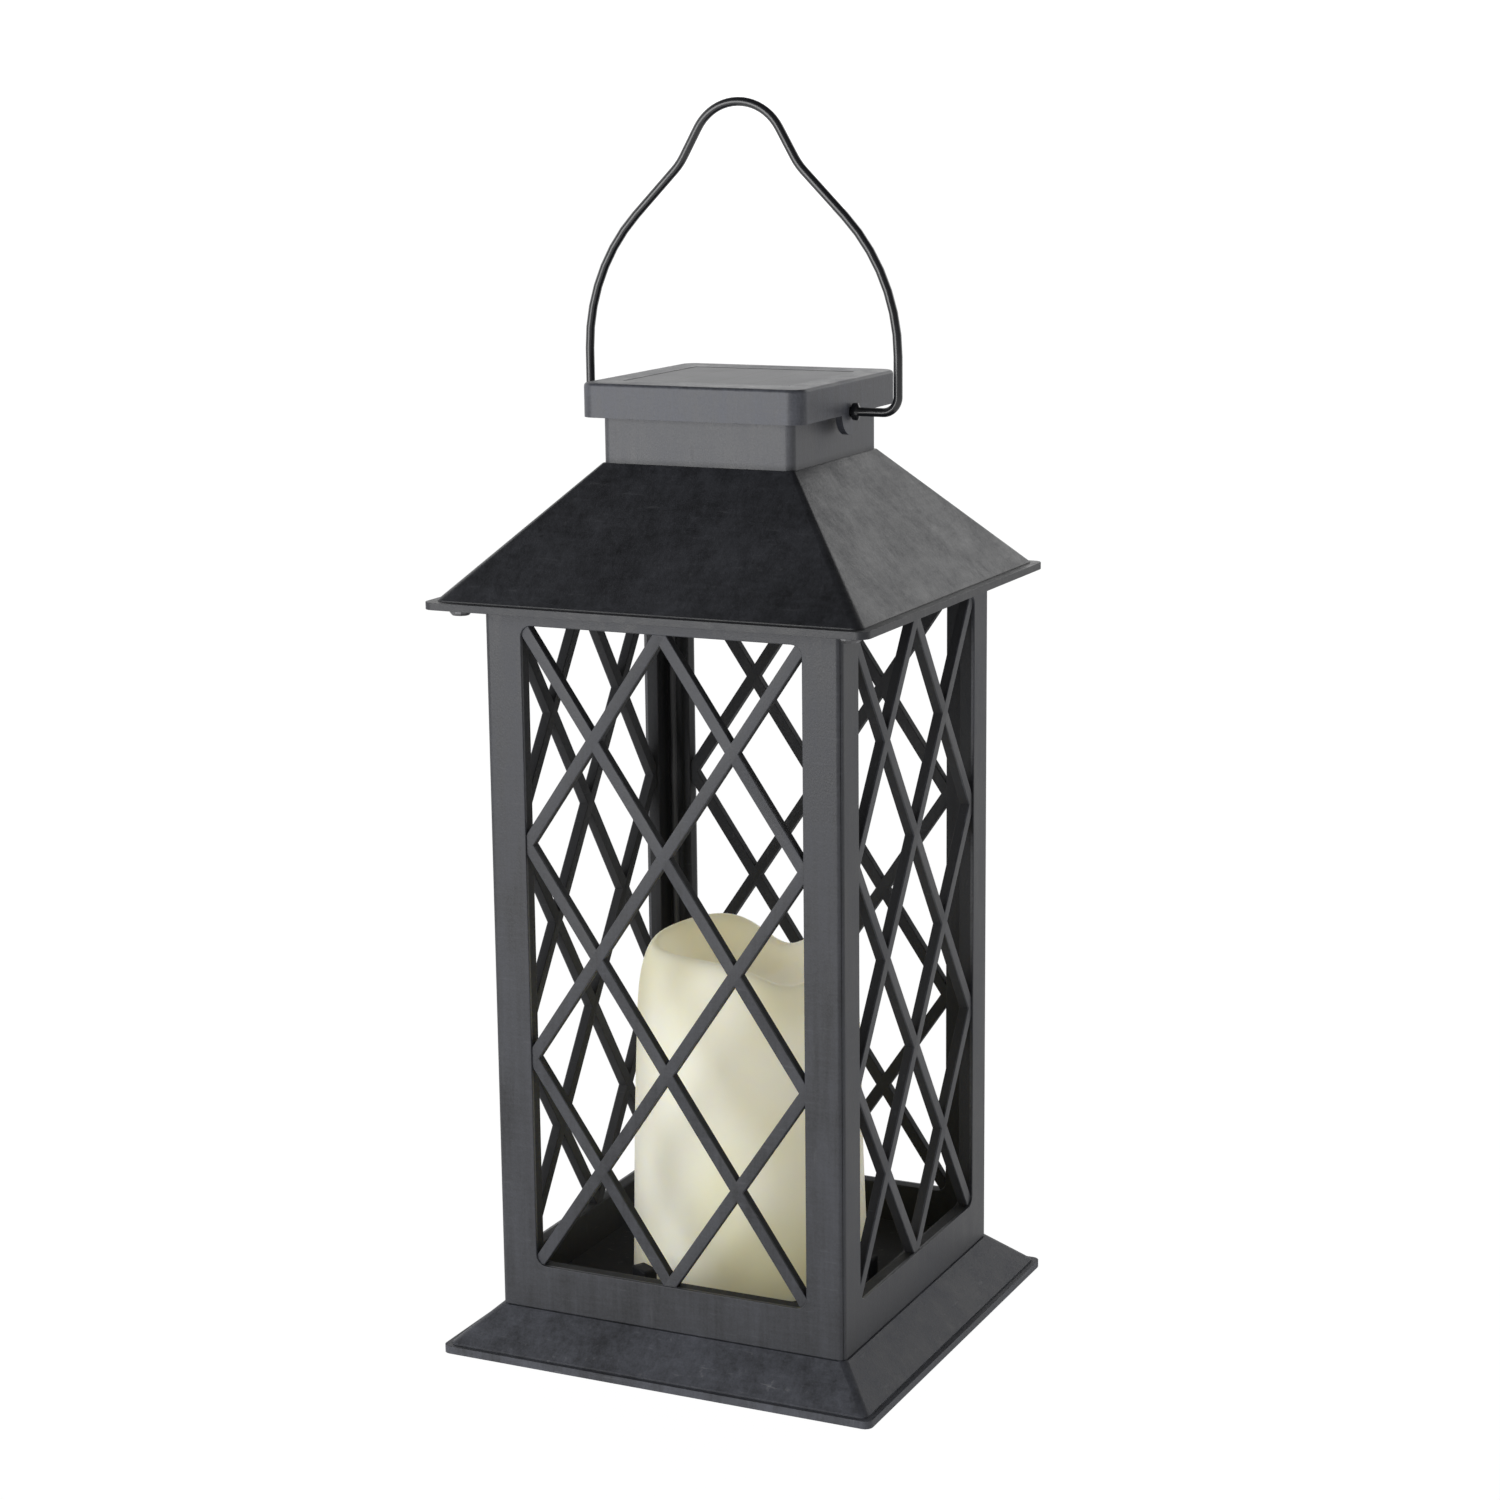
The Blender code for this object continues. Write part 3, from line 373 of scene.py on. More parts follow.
def pick(kind, test):
    """Selects the faces or edges of the edited mesh that pass a test of their middle and direction."""
    mesh = bpy.context.edit_object.data
    shape = bmesh.from_edit_mesh(mesh)
    bpy.ops.mesh.select_mode(type=kind)
    bpy.ops.mesh.select_all(action="DESELECT")
    for item in shape.faces if kind == "FACE" else shape.edges:
        if kind == "FACE":
            middle, way = item.calc_center_median(), item.normal
        else:
            ends = [v.co for v in item.verts]
            middle, way = (ends[0] + ends[1]) / 2.0, (ends[1] - ends[0]).normalized()
        item.select_set(test(middle, way))
    shape.select_flush_mode()
    bmesh.update_edit_mesh(mesh)


def pull(x=0.0, y=0.0, z=0.0):
    """Extrudes the selected faces and moves them."""
    bpy.ops.mesh.extrude_region_move(TRANSFORM_OT_translate={"value": (x, y, z)})


def resize(x, y, z, centre):
    """Scales what is selected about a point."""
    bpy.ops.transform.resize(value=(x, y, z), center_override=centre)


def step(rise, ratio):
    """Extrudes the selected faces, lifts them and scales them about the upright axis."""
    pull(z=rise)
    resize(ratio, ratio, 1.0, (0, 0, 0))


def inset(width):
    """Insets the selected faces by an even width."""
    bpy.ops.mesh.inset(thickness=width, use_boundary=True)


def box_piece(name, low, high):
    """A cube between two corners, left in edit mode with nothing selected."""
    middle = [(a + b) / 2.0 for a, b in zip(low, high)]
    size = [b - a for a, b in zip(low, high)]
    bpy.ops.mesh.primitive_cube_add(size=1.0, location=middle, scale=size)
    piece = take(bpy.context.object)
    bpy.ops.object.transform_apply()
    piece.name = name
    bpy.ops.object.mode_set(mode="EDIT")
    bpy.ops.mesh.select_all(action="DESELECT")
    return piece


def rod_piece(name, start, end, radius, sides=24):
    """A cylinder between two points, in object mode."""
    start, end = Vector(start), Vector(end)
    bpy.ops.mesh.primitive_cylinder_add(vertices=sides, radius=radius, depth=(end - start).length,
                                        location=(start + end) / 2.0,
                                        rotation=(end - start).to_track_quat("Z", "Y").to_euler())
    piece = take(bpy.context.object)
    bpy.ops.object.transform_apply()
    piece.name = name
    return piece


def round_edges(width, segments, test):
    """Bevels the edges that pass a test."""
    pick("EDGE", test)
    bpy.ops.mesh.bevel(offset=width, segments=segments, affect="EDGES")


def upright(_middle, way):
    """The test for edges that stand upright."""
    return abs(way.z) > 0.99


def close_edit(piece):
    bpy.ops.object.mode_set(mode="OBJECT")
    return piece


def carve(piece, operation, *tools):
    """Joins or cuts a piece with helper solids, and removes them."""
    for tool in tools:
        take(piece)
        cut = piece.modifiers.new("carve", "BOOLEAN")
        cut.operation = operation
        cut.solver = "EXACT"
        cut.object = tool
        bpy.ops.object.modifier_apply(modifier=cut.name)
        bpy.data.objects.remove(tool, do_unlink=True)
    return piece


def drill(piece, x, y, low, high, radius, sides=16):
    """Cuts an upright round hole between two heights."""
    return carve(piece, "DIFFERENCE", rod_piece("hole", (x, y, low), (x, y, high), radius, sides))


def soften(piece, width, segments=2, angle=40.0):
    """Small rounded edges all over, as every mould leaves them."""
    take(piece)
    weld = piece.modifiers.new("weld", "WELD")
    weld.merge_threshold = WELD
    bpy.ops.object.modifier_apply(modifier=weld.name)
    edge = piece.modifiers.new("edges", "BEVEL")
    edge.width = width
    edge.segments = segments
    edge.limit_method = "ANGLE"
    edge.angle_limit = math.radians(angle)
    edge.use_clamp_overlap = True
    bpy.ops.object.modifier_apply(modifier=edge.name)
    return shade_flats(piece)


def shade_flats(piece):
    """Smooth shading that leaves broad faces flat and lets the narrow rounded edges turn."""
    take(piece)
    bpy.ops.object.shade_smooth_by_angle(angle=math.radians(50.0))
    even = piece.modifiers.new("even", "WEIGHTED_NORMAL")
    even.weight = 100
    even.keep_sharp = True
    bpy.ops.object.modifier_apply(modifier=even.name)
    return piece


def settle(piece, body, slot, finish, *stands_for):
    """Gives a finished piece its finish, its moving body and the CAD nodes that it stands for."""
    piece.data.materials.clear()
    piece.data.materials.append(finish)
    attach(piece, body)
    if stands_for:
        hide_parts(*stands_for)
    print(piece.name, "faces", len(piece.data.polygons))
    return piece


# %% [markdown]
# ## Base skirt
# The foot is one moulding: a thin lip, a sloping skirt, a ledge that the walls stand on and a raised
# floor. It could be cut from a block, but a mould maker draws it as a stack of steps, so it is
# pulled up from the lip by inset and extrude, and hollowed from below in the same way.

# %% Base sizes
LIP_HALF = cad_high.x
LIP_H = 2.5 * MM
LIP_ROUND = 2.6 * MM
SKIRT_FOOT = 73.2 * MM
SKIRT_TOP = 60.9 * MM
SKIRT_RIM = 0.5 * MM
LEDGE_Z = 14.0 * MM
FLOOR_Z = 16.0 * MM
FLOOR_HALF = 55.1 * MM
SHEET = 1.6 * MM
HOLLOW_HALF = 72.8 * MM
HOLLOW_TOP = 60.0 * MM
HOLLOW_RIM = 1.0 * MM
HOLLOW_FLOOR = FLOOR_HALF - 1.8 * MM
FLOOR_HOLE_R = 31.0 * MM
LEAD_HOLE_R = 1.8 * MM
LUG_LOW = (39.5 * MM, -4.0 * MM, 15.0 * MM)
LUG_HIGH = (44.5 * MM, 4.0 * MM, 24.0 * MM)
CUT_LOW, CUT_HIGH = 11.0 * MM, 20.0 * MM
EDGE_ROUND = 0.3 * MM
print("base", round(2.0 * LIP_HALF, 4), "wide, floor at", round(FLOOR_Z, 4))


# %% Base skirt
def base_skirt():
    piece = box_piece("base_moulding", (-LIP_HALF, -LIP_HALF, 0.0), (LIP_HALF, LIP_HALF, LIP_H))
    round_edges(LIP_ROUND, 4, upright)
    pick("FACE", lambda middle, way: way.z > 0.9)
    step(0.0, SKIRT_FOOT / LIP_HALF)
    step(SKIRT_RIM, 1.0)
    step(LEDGE_Z - LIP_H - SKIRT_RIM, SKIRT_TOP / SKIRT_FOOT)
    step(0.0, FLOOR_HALF / SKIRT_TOP)
    step(FLOOR_Z - LEDGE_Z, 1.0)
    pick("FACE", lambda middle, way: way.z < -0.9)
    step(0.0, HOLLOW_HALF / LIP_HALF)
    step(HOLLOW_RIM, 1.0)
    step(LEDGE_Z - SHEET - HOLLOW_RIM, HOLLOW_TOP / HOLLOW_HALF)
    step(0.0, HOLLOW_FLOOR / HOLLOW_TOP)
    step(FLOOR_Z - LEDGE_Z, 1.0)
    close_edit(piece)
    drill(piece, 0, 0, CUT_LOW, CUT_HIGH, FLOOR_HOLE_R, 72)
    for index in range(3):
        lug = close_edit(box_piece("lug", LUG_LOW, LUG_HIGH))
        soften(lug, 0.8 * MM, 3)
        lug.data.transform(Matrix.Rotation(math.radians(120.0 * index), 4, "Z"))
        carve(piece, "UNION", lug)
    for node, x, y, radius in screw_places(("candle_screw", "wall_screw")):
        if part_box(node)[0].z < LEDGE_Z:
            drill(piece, x, y, CUT_LOW, CUT_HIGH, radius)
    lead_x, lead_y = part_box("solar_lead")[0].x + 1.0 * MM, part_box("solar_lead")[1].y - 1.0 * MM
    drill(piece, lead_x, lead_y, CUT_LOW, CUT_HIGH, LEAD_HOLE_R)
    return soften(piece, EDGE_ROUND)


def screw_places(kinds, clearance=0.4 * MM):
    """Where the screws of some kinds stand, with the radius of a hole that clears their shanks."""
    shanks = {"candle_screw": 1.0, "wall_screw": 1.0, "eave_screw": 1.3, "lid_screw": 1.3}
    for node in sorted(nodes):
        kind = node.rsplit("_", 1)[0]
        if kind in kinds:
            low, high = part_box(node)
            yield node, (low.x + high.x) / 2.0, (low.y + high.y) / 2.0, shanks[kind] * MM + clearance


settle(base_skirt(), "lantern", "housing_plastic", base_plastic, "base_skirt")

# %% [markdown]
# ## Lattice walls
# Each wall is a window frame with a diamond lattice moulded into it, and the four meet at mitred
# corners under a round edge. One wall is made from the whole square post: its corners are rounded,
# and then it is sliced along both diagonals, so that the rounding runs on over the joint. The bars
# are one long bar with softened edges, copied at both slants.

# %% Wall sizes
WALL_HALF = -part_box("front_wall")[0].y
WALL_DEPTH = 5.0 * MM
WALL_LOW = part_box("front_wall")[0].z - 0.25 * MM
WALL_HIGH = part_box("front_wall")[1].z
WINDOW_HALF = 47.5 * MM
WINDOW_LOW = 29.0 * MM
WINDOW_HIGH = 237.5 * MM
ROWS = 6
BAR_WIDTH = 3.8 * MM
BAR_DEPTH = 3.4 * MM
BAR_BACK = 0.6 * MM
SEAM = 0.04 * MM
print("walls", round(2.0 * WALL_HALF, 4), "across, from", round(WALL_LOW, 4), "to", round(WALL_HIGH, 4))


# %% Window frame
def window_frame():
    """The front wall with its round corners and its window."""
    piece = box_piece("front_lattice", (-WALL_HALF, -WALL_HALF, WALL_LOW),
                      (WALL_HALF, WALL_HALF, WALL_HIGH))
    round_edges(2.0 * MM, 6, upright)
    for way in ((1, 1, 0), (-1, 1, 0)):
        bpy.ops.mesh.select_all(action="SELECT")
        bpy.ops.mesh.bisect(plane_co=(0, -SEAM, 0), plane_no=way, use_fill=True, clear_outer=True)
    bpy.ops.mesh.select_all(action="SELECT")
    bpy.ops.mesh.bisect(plane_co=(0, WALL_DEPTH - WALL_HALF, 0), plane_no=(0, 1, 0), use_fill=True,
                        clear_outer=True)
    close_edit(piece)
    cutter = box_piece("window", (-WINDOW_HALF, -WALL_HALF - 0.01, WINDOW_LOW),
                       (WINDOW_HALF, 0.01 - WALL_HALF, WINDOW_HIGH))
    round_edges(3.5 * MM, 6, lambda middle, way: abs(way.y) > 0.99)
    carve(piece, "DIFFERENCE", close_edit(cutter))
    return soften(piece, EDGE_ROUND, 2, 50.0)


# %% Lattice bars
def lattice_bars(side):
    """The four parallel bars that slope one way, as one mesh of separate bars."""
    pitch_x = WINDOW_HALF / 2.0
    pitch_z = (WINDOW_HIGH - WINDOW_LOW) / ROWS
    slant = math.atan2(pitch_z, pitch_x)
    made = []
    for start, end in (((0, 0), (4, 4)), ((2, 0), (4, 2)), ((0, 2), (4, 6)), ((0, 4), (2, 6))):
        x = side * (-WINDOW_HALF + pitch_x * (start[0] + end[0]) / 2.0)
        z = WINDOW_HIGH - pitch_z * (start[1] + end[1]) / 2.0
        length = math.hypot(pitch_x, pitch_z) * (end[0] - start[0]) + 4.0 * MM
        bar = box_piece("bar", (-length / 2.0, -BAR_DEPTH / 2.0, -BAR_WIDTH / 2.0),
                        (length / 2.0, BAR_DEPTH / 2.0, BAR_WIDTH / 2.0))
        round_edges(EDGE_ROUND, 2, lambda middle, way: abs(way.x) > 0.99)
        close_edit(bar)
        recess = BAR_BACK + (0.02 * MM if side > 0 else 0.0)
        turn = Matrix.Rotation(side * slant, 4, "Y")
        bar.data.transform(Matrix.Translation((x, recess + BAR_DEPTH / 2.0 - WALL_HALF, z)) @ turn)
        made.append(bar)
    take(made[0])
    for bar in made[1:]:
        bar.select_set(True)
    bpy.ops.object.join()
    return bpy.context.object


# %% Four walls
def lattice_walls():
    first = window_frame()
    for side in (1, -1):
        carve(first, "UNION", lattice_bars(side))
    shade_flats(first)
    for index, way in enumerate(("front", "right", "back", "left")):
        wall = first if index == 0 else bpy.data.objects.new(way + "_lattice", first.data.copy())
        if index:
            bpy.context.collection.objects.link(wall)
            wall.data.transform(Matrix.Rotation(math.radians(90.0 * index), 4, "Z"))
        settle(wall, "lantern", "housing_plastic", housing_plastic, way + "_wall")


lattice_walls()

# %% [markdown]
# ## Roof
# The hipped roof, its thin eave lip and the square neck are one thin moulding. It is pulled up from
# the eave like the skirt, and the neck, whose corners are rounder, is a block of its own joined on.

# %% Roof sizes
EAVE_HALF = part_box("roof_shell")[1].x
EAVE_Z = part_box("roof_shell")[0].z
EAVE_H = 2.3 * MM
SLOPE_FOOT = (71.5 * MM, 245.7 * MM)
SLOPE_TOP = (32.8 * MM, SLOPE_TOP_Z)
NECK_HALF = 32.5 * MM
NECK_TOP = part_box("roof_shell")[1].z
SEAT_HALF = 69.8 * MM
SEAT_H = 1.6 * MM
HOLLOW_NECK = 31.9 * MM
NECK_WALL = 1.8 * MM
NECK_DECK = 1.6 * MM
NECK_FOOT = 280.0 * MM
PORT_R = 10.0 * MM
DECK_LOW, DECK_HIGH = 295.0 * MM, 310.0 * MM
EAVE_BOSS_LOW = EAVE_Z + 1.9 * MM
print("roof", round(2.0 * EAVE_HALF, 4), "wide, neck up to", round(NECK_TOP, 4))


# %% Roof
def roof():
    piece = box_piece("roof_moulding", (-EAVE_HALF, -EAVE_HALF, EAVE_Z),
                      (EAVE_HALF, EAVE_HALF, EAVE_Z + EAVE_H))
    round_edges(3.4 * MM, 4, upright)
    pick("FACE", lambda middle, way: way.z > 0.9)
    step(0.0, SLOPE_FOOT[0] / EAVE_HALF)
    step(SLOPE_FOOT[1] - EAVE_Z - EAVE_H, 1.0)
    step(SLOPE_TOP[1] - SLOPE_FOOT[1], SLOPE_TOP[0] / SLOPE_FOOT[0])
    pick("FACE", lambda middle, way: way.z < -0.9)
    step(0.0, SEAT_HALF / EAVE_HALF)
    step(SEAT_H, 1.0)
    step(SLOPE_TOP[1] - 2.9 * MM - EAVE_Z - SEAT_H, HOLLOW_NECK / SEAT_HALF)
    close_edit(piece)
    neck = box_piece("neck", (-NECK_HALF, -NECK_HALF, SLOPE_TOP[1] - 1.0 * MM),
                     (NECK_HALF, NECK_HALF, NECK_TOP))
    round_edges(2.8 * MM, 6, upright)
    carve(piece, "UNION", close_edit(neck))
    inner = NECK_HALF - NECK_WALL
    hollow = box_piece("hollow", (-inner, -inner, NECK_FOOT), (inner, inner, NECK_TOP - NECK_DECK))
    round_edges(1.4 * MM, 4, upright)
    carve(piece, "DIFFERENCE", close_edit(hollow))
    drill(piece, 0, 0, DECK_LOW, DECK_HIGH, PORT_R, 32)
    for _, x, y, radius in screw_places(("lid_screw",)):
        drill(piece, x, y, DECK_LOW, DECK_HIGH, radius)
    for _, x, y, radius in screw_places(("eave_screw",), 0.3 * MM):
        boss = rod_piece("boss", (x, y, EAVE_BOSS_LOW), (x, y, EAVE_BOSS_LOW + 3.4 * MM), 3.0 * MM, 20)
        carve(piece, "UNION", boss)
        drill(piece, x, y, EAVE_Z - 2.0 * MM, EAVE_BOSS_LOW + 2.7 * MM, radius)
    return soften(piece, EDGE_ROUND)


settle(roof(), "lantern", "housing_plastic", roof_plastic, "roof_shell")

# %% [markdown]
# ## Lid
# The lid is a shallow tray turned over. Its upright corners are round, its top edge is softened, and
# an ear hangs from each side to carry the bail. The solar panel lies in a seat in its top, and two
# small slots at the seat's front corners let it be pried out.

# %% Lid sizes
LID_LOW = 299.8 * MM
LID_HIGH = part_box("lid_shell")[1].z
LID_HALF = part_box("lid_shell")[1].x
LID_WALL = 2.0 * MM
PIVOT_Z = frame["joints"][0]["pos_m"][2]
EAR_R = PIVOT_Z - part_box("lid_shell")[0].z
EYE_R = 1.7 * MM
CELL_LOW, CELL_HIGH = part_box("solar_panel")
SEAT_GAP = 0.04 * MM
LID_BOSS_LOW, LID_BOSS_HIGH = 304.3 * MM, 308.2 * MM
ABOVE_LID = 320.0 * MM
print("lid", round(2.0 * LID_HALF, 4), "wide, pivot at", round(PIVOT_Z, 4))


# %% Lid
def lid():
    piece = box_piece("lid_moulding", (-LID_HALF, -LID_HALF, LID_LOW), (LID_HALF, LID_HALF, LID_HIGH))
    round_edges(5.0 * MM, 8, upright)
    round_edges(1.1 * MM, 4, lambda middle, way: abs(way.z) < 0.01 and middle.z > LID_HIGH - 0.1 * MM)
    pick("FACE", lambda middle, way: way.z < -0.9)
    inset(LID_WALL)
    pull(z=LID_HIGH - LID_LOW - 2.4 * MM)
    close_edit(piece)
    inner = LID_HALF - LID_WALL
    for side in (-1, 1):
        near, far = side * (inner - 0.25 * MM), side * (LID_HALF - 0.02 * MM)
        carve(piece, "UNION", rod_piece("ear", (near, 0, PIVOT_Z), (far, 0, PIVOT_Z), EAR_R, 48))
        near, far = side * 34.0 * MM, side * 40.0 * MM
        carve(piece, "DIFFERENCE", rod_piece("eye", (near, 0, PIVOT_Z), (far, 0, PIVOT_Z), EYE_R, 24))
    seat = box_piece("seat", (CELL_LOW.x - SEAT_GAP, CELL_LOW.y - SEAT_GAP, CELL_LOW.z - 0.3 * MM),
                     (CELL_HIGH.x + SEAT_GAP, CELL_HIGH.y + SEAT_GAP, ABOVE_LID))
    carve(piece, "DIFFERENCE", close_edit(seat))
    window = box_piece("window", (-20.0 * MM, -17.0 * MM, LID_LOW), (20.0 * MM, 17.0 * MM, ABOVE_LID))
    carve(piece, "DIFFERENCE", close_edit(window))
    for side in (-1, 1):
        x, y = side * (CELL_HIGH.x - 0.9 * MM), CELL_LOW.y - 0.4 * MM
        notch = box_piece("notch", (x - 1.3 * MM, y - 0.5 * MM, LID_HIGH - 0.8 * MM),
                          (x + 1.3 * MM, y + 0.5 * MM, ABOVE_LID))
        carve(piece, "DIFFERENCE", close_edit(notch))
    for _, x, y, radius in screw_places(("lid_screw",)):
        boss = rod_piece("boss", (x, y, LID_BOSS_LOW), (x, y, LID_BOSS_HIGH), 3.2 * MM, 20)
        carve(piece, "UNION", boss)
        drill(piece, x, y, LID_LOW, LID_BOSS_HIGH - 0.4 * MM, radius)
    return soften(piece, 0.18 * MM)


settle(lid(), "lantern", "lid_plastic", lid_plastic, "lid_shell")

# %% [markdown]
# ## Solar panel
# The panel is a dark wafer under a clear, faintly frosted resin. Seen edge-on it mirrors the white
# room and nearly matches the lid, and from above it shows its cells and the thin silver fingers
# between them. The block gets a soft edge, and the cells are drawn by its finish.


# %% Solar panel
CELLS = 4.0
FINGER_PITCH = 2.0 * MM


def solar_finish():
    glass = Finish("solar_resin", Roughness=0.38, IOR=1.5)
    across, along = glass.parts()[:2]
    cell_pitch = (CELL_HIGH.x - CELL_LOW.x) / CELLS
    gap = ((across * (1.0 / cell_pitch)).maths("FRACT") - 0.5).maths("ABSOLUTE") > 0.475
    finger = ((along * (1.0 / FINGER_PITCH)).maths("FRACT") - 0.5).maths("ABSOLUTE") > 0.46
    wafer = glass.blend(glass.noise(90.0, 2.0), (0.058, 0.060, 0.072, 1), (0.074, 0.077, 0.090, 1))
    lined = glass.blend(finger * 0.3, wafer, (0.16, 0.16, 0.17, 1))
    glass.feed("Base Color", glass.blend(gap, lined, (0.05, 0.05, 0.052, 1)))
    glass.feed("Roughness", 0.38 + glass.noise(60.0, 3.0) * 0.10)
    glass.relief(glass.noise(2600.0, 2.0), 0.06 * MM, 0.4)
    return glass.material


def solar_panel():
    piece = close_edit(box_piece("solar_wafer", CELL_LOW, CELL_HIGH + Vector((0, 0, 0.2 * MM))))
    return soften(piece, 0.1 * MM)


settle(solar_panel(), "lantern", "solar_cell", solar_finish(), "solar_panel")

# %% [markdown]
# ## Bail handle
# The bail is one enamelled wire. A curve with a bevel would do, but a wire is bent, so here a round
# section is led along half of the handle: an arc is a spin and a straight is an extrude. Near its
# end the section is squeezed into a collar outside the ear and a head inside it. A mirror makes
# the other half.

# %% Bail sizes
WIRE_R = 1.4 * MM
CROWN_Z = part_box("handle_wire")[1].z - WIRE_R
ARM_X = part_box("handle_wire")[1].x - WIRE_R
SHOULDER = (ARM_X, 342.6 * MM, 60.0 * MM)
NAPE = (20.3 * MM, 375.7 * MM, 20.0 * MM)
CROWN = (9.35 * MM, CROWN_Z, 16.0 * MM)
ELBOW = (ARM_X, PIVOT_Z, 5.0 * MM)
STRAIGHT_END = (40.6 * MM, PIVOT_Z)
END_RINGS = ((40.0, 2.7, 1.5), (39.6, 2.75, 1.6), (38.4, 2.75, 1.6), (38.1, 2.3, 1.45),
             (38.05, 1.4, 1.4), (35.35, 1.4, 1.4), (35.3, 2.2, 2.2), (35.0, 2.4, 2.4),
             (33.6, 2.4, 2.4), (33.3, 2.0, 2.0))
print("bail crown at", round(CROWN_Z, 4), "arms at", round(ARM_X, 4))


# %% Wire path
def bends():
    """Straights and arcs from the crown outwards: each is a start point, an end point and, for an
    arc, its centre and signed angle."""
    corners = [(0.0, CROWN_Z), CROWN, NAPE, SHOULDER, ELBOW, STRAIGHT_END]
    here = Vector(corners[0])
    made = []
    for corner, after in zip(corners[1:], corners[2:]):
        point, radius = Vector(corner[:2]), corner[2]
        way_in = (point - here).normalized()
        way_out = (Vector(after[:2]) - point).normalized()
        turn = way_in.angle_signed(way_out)
        reach = radius * math.tan(abs(turn) / 2.0)
        start = point - way_in * reach
        side = Vector((way_in.y, -way_in.x)) * (1.0 if turn > 0.0 else -1.0)
        made.append((here, start, None, 0.0))
        made.append((start, point + way_out * reach, start + side * radius, turn))
        here = point + way_out * reach
    made.append((here, Vector(corners[-1]), None, 0.0))
    return made


def bail():
    bpy.ops.mesh.primitive_circle_add(vertices=16, radius=WIRE_R, location=(0, 0, CROWN_Z),
                                      rotation=(0, math.radians(90.0), 0))
    piece = take(bpy.context.object)
    bpy.ops.object.transform_apply()
    piece.name = "bail"
    bpy.ops.object.mode_set(mode="EDIT")
    bpy.ops.mesh.select_mode(type="EDGE")
    bpy.ops.mesh.select_all(action="SELECT")
    for start, end, centre, turn in bends():
        if centre is None:
            run = end - start
            if run.length > WELD:
                pull(x=run.x, z=run.y)
        else:
            steps = max(3, round(abs(math.degrees(turn)) / 6.0))
            bpy.ops.mesh.spin(steps=steps, angle=-turn, center=(centre.x, 0, centre.y), axis=(0, 1, 0))
    for x, tall, deep in END_RINGS:
        squeeze(x * MM, tall * MM, deep * MM)
    bpy.ops.mesh.edge_face_add()
    close_edit(piece)
    mirror = piece.modifiers.new("mirror", "MIRROR")
    mirror.merge_threshold = WELD
    mirror.use_clip = True
    bpy.ops.object.modifier_apply(modifier=mirror.name)
    bpy.ops.object.mode_set(mode="EDIT")
    bpy.ops.mesh.select_all(action="SELECT")
    bpy.ops.mesh.remove_doubles(threshold=WELD)
    bpy.ops.mesh.normals_make_consistent(inside=False)
    close_edit(piece)
    bpy.ops.object.shade_smooth_by_angle(angle=math.radians(50.0))
    return piece


def squeeze(x, tall, deep):
    """Extrudes the wire's end to one place along X and gives the section a new height and depth."""
    shape = bmesh.from_edit_mesh(bpy.context.edit_object.data)
    ring = [v.co for v in shape.verts if v.select]
    here_x = sum(c.x for c in ring) / len(ring)
    half_z = max(abs(c.z - PIVOT_Z) for c in ring)
    half_y = max(abs(c.y) for c in ring)
    pull(x=x - here_x)
    resize(1.0, deep / half_y, tall / half_z, (x, 0, PIVOT_Z))


# %% Enamel
def enamel():
    coat = Finish("black_enamel", Roughness=0.28, IOR=1.5, Coat_Weight=0.5, Coat_Roughness=0.15)
    patches = coat.noise(120.0, 3.0)
    coat.feed("Base Color", coat.blend(patches, grey(0.006, 0.2), grey(0.014, 0.3)))
    coat.feed("Roughness", 0.22 + patches * 0.14)
    coat.relief(coat.noise(300.0, 2.0), 0.02 * MM, 0.25)
    return coat.material


settle(bail(), "handle", "bail_wire", enamel(), "handle_wire")

# %% [markdown]
# ## Candle
# The candle is a moulded shell that copies a burnt pillar: the side tapers, the shoulder is round,
# and the rim rises and dips round a hollow. Its rings are pulled up from the foot one by one, then
# the rim is lifted and lowered by angle, and Subdivision Surface makes the whole softly melted. No
# operator bends a rim unevenly, so that one step moves the points in code, as a sculpting tool does.

# %% Candle sizes
CANDLE_LOW, CANDLE_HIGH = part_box("candle_shell")
FOOT_R = CANDLE_HIGH.x
FOOT_Z = CANDLE_LOW.z
OUTSIDE = ((39.0, 16.5), (38.95, 18.0), (38.6, 30.0), (38.0, 52.0), (37.4, 75.0), (36.8, 95.0),
           (36.4, 105.0), (35.9, 110.5), (35.0, 114.8), (33.7, 118.6), (32.3, 121.6), (30.9, 123.2),
           (29.4, 123.6), (27.9, 122.8), (26.4, 121.0), (24.6, 118.0), (21.8, 114.9), (18.0, 112.8),
           (12.0, 111.5), (6.0, 111.0))
RIM_RISE = 4.4
RIM_WAVES = ((135.0, 25.0, 1.0), (-145.0, 25.0, -1.0), (88.0, 22.0, -9.4), (-35.0, 28.0, -9.0),
             (25.0, 30.0, -4.0))
MELT_FROM, MELT_OVER = 104.0 * MM, 16.0 * MM
HOLLOW_R = 26.0 * MM
DENT_DEEP = 0.14 * MM
DENT_OVER = 15.0 * MM
DENT_INSIDE = 24.0 * MM
WALL = 2.2 * MM
print("candle", round(2.0 * FOOT_R, 4), "across,", round(CANDLE_HIGH.z - FOOT_Z, 4), "tall")


# %% Rim shape
def rim_lift(angle):
    """How much the rim stands above its rings' own height, in millimetres."""
    lift = RIM_RISE
    for centre, width, height in RIM_WAVES:
        off = (math.degrees(angle) - centre + 180.0) % 360.0 - 180.0
        lift += height * math.exp(-(off / width) ** 2)
    return lift


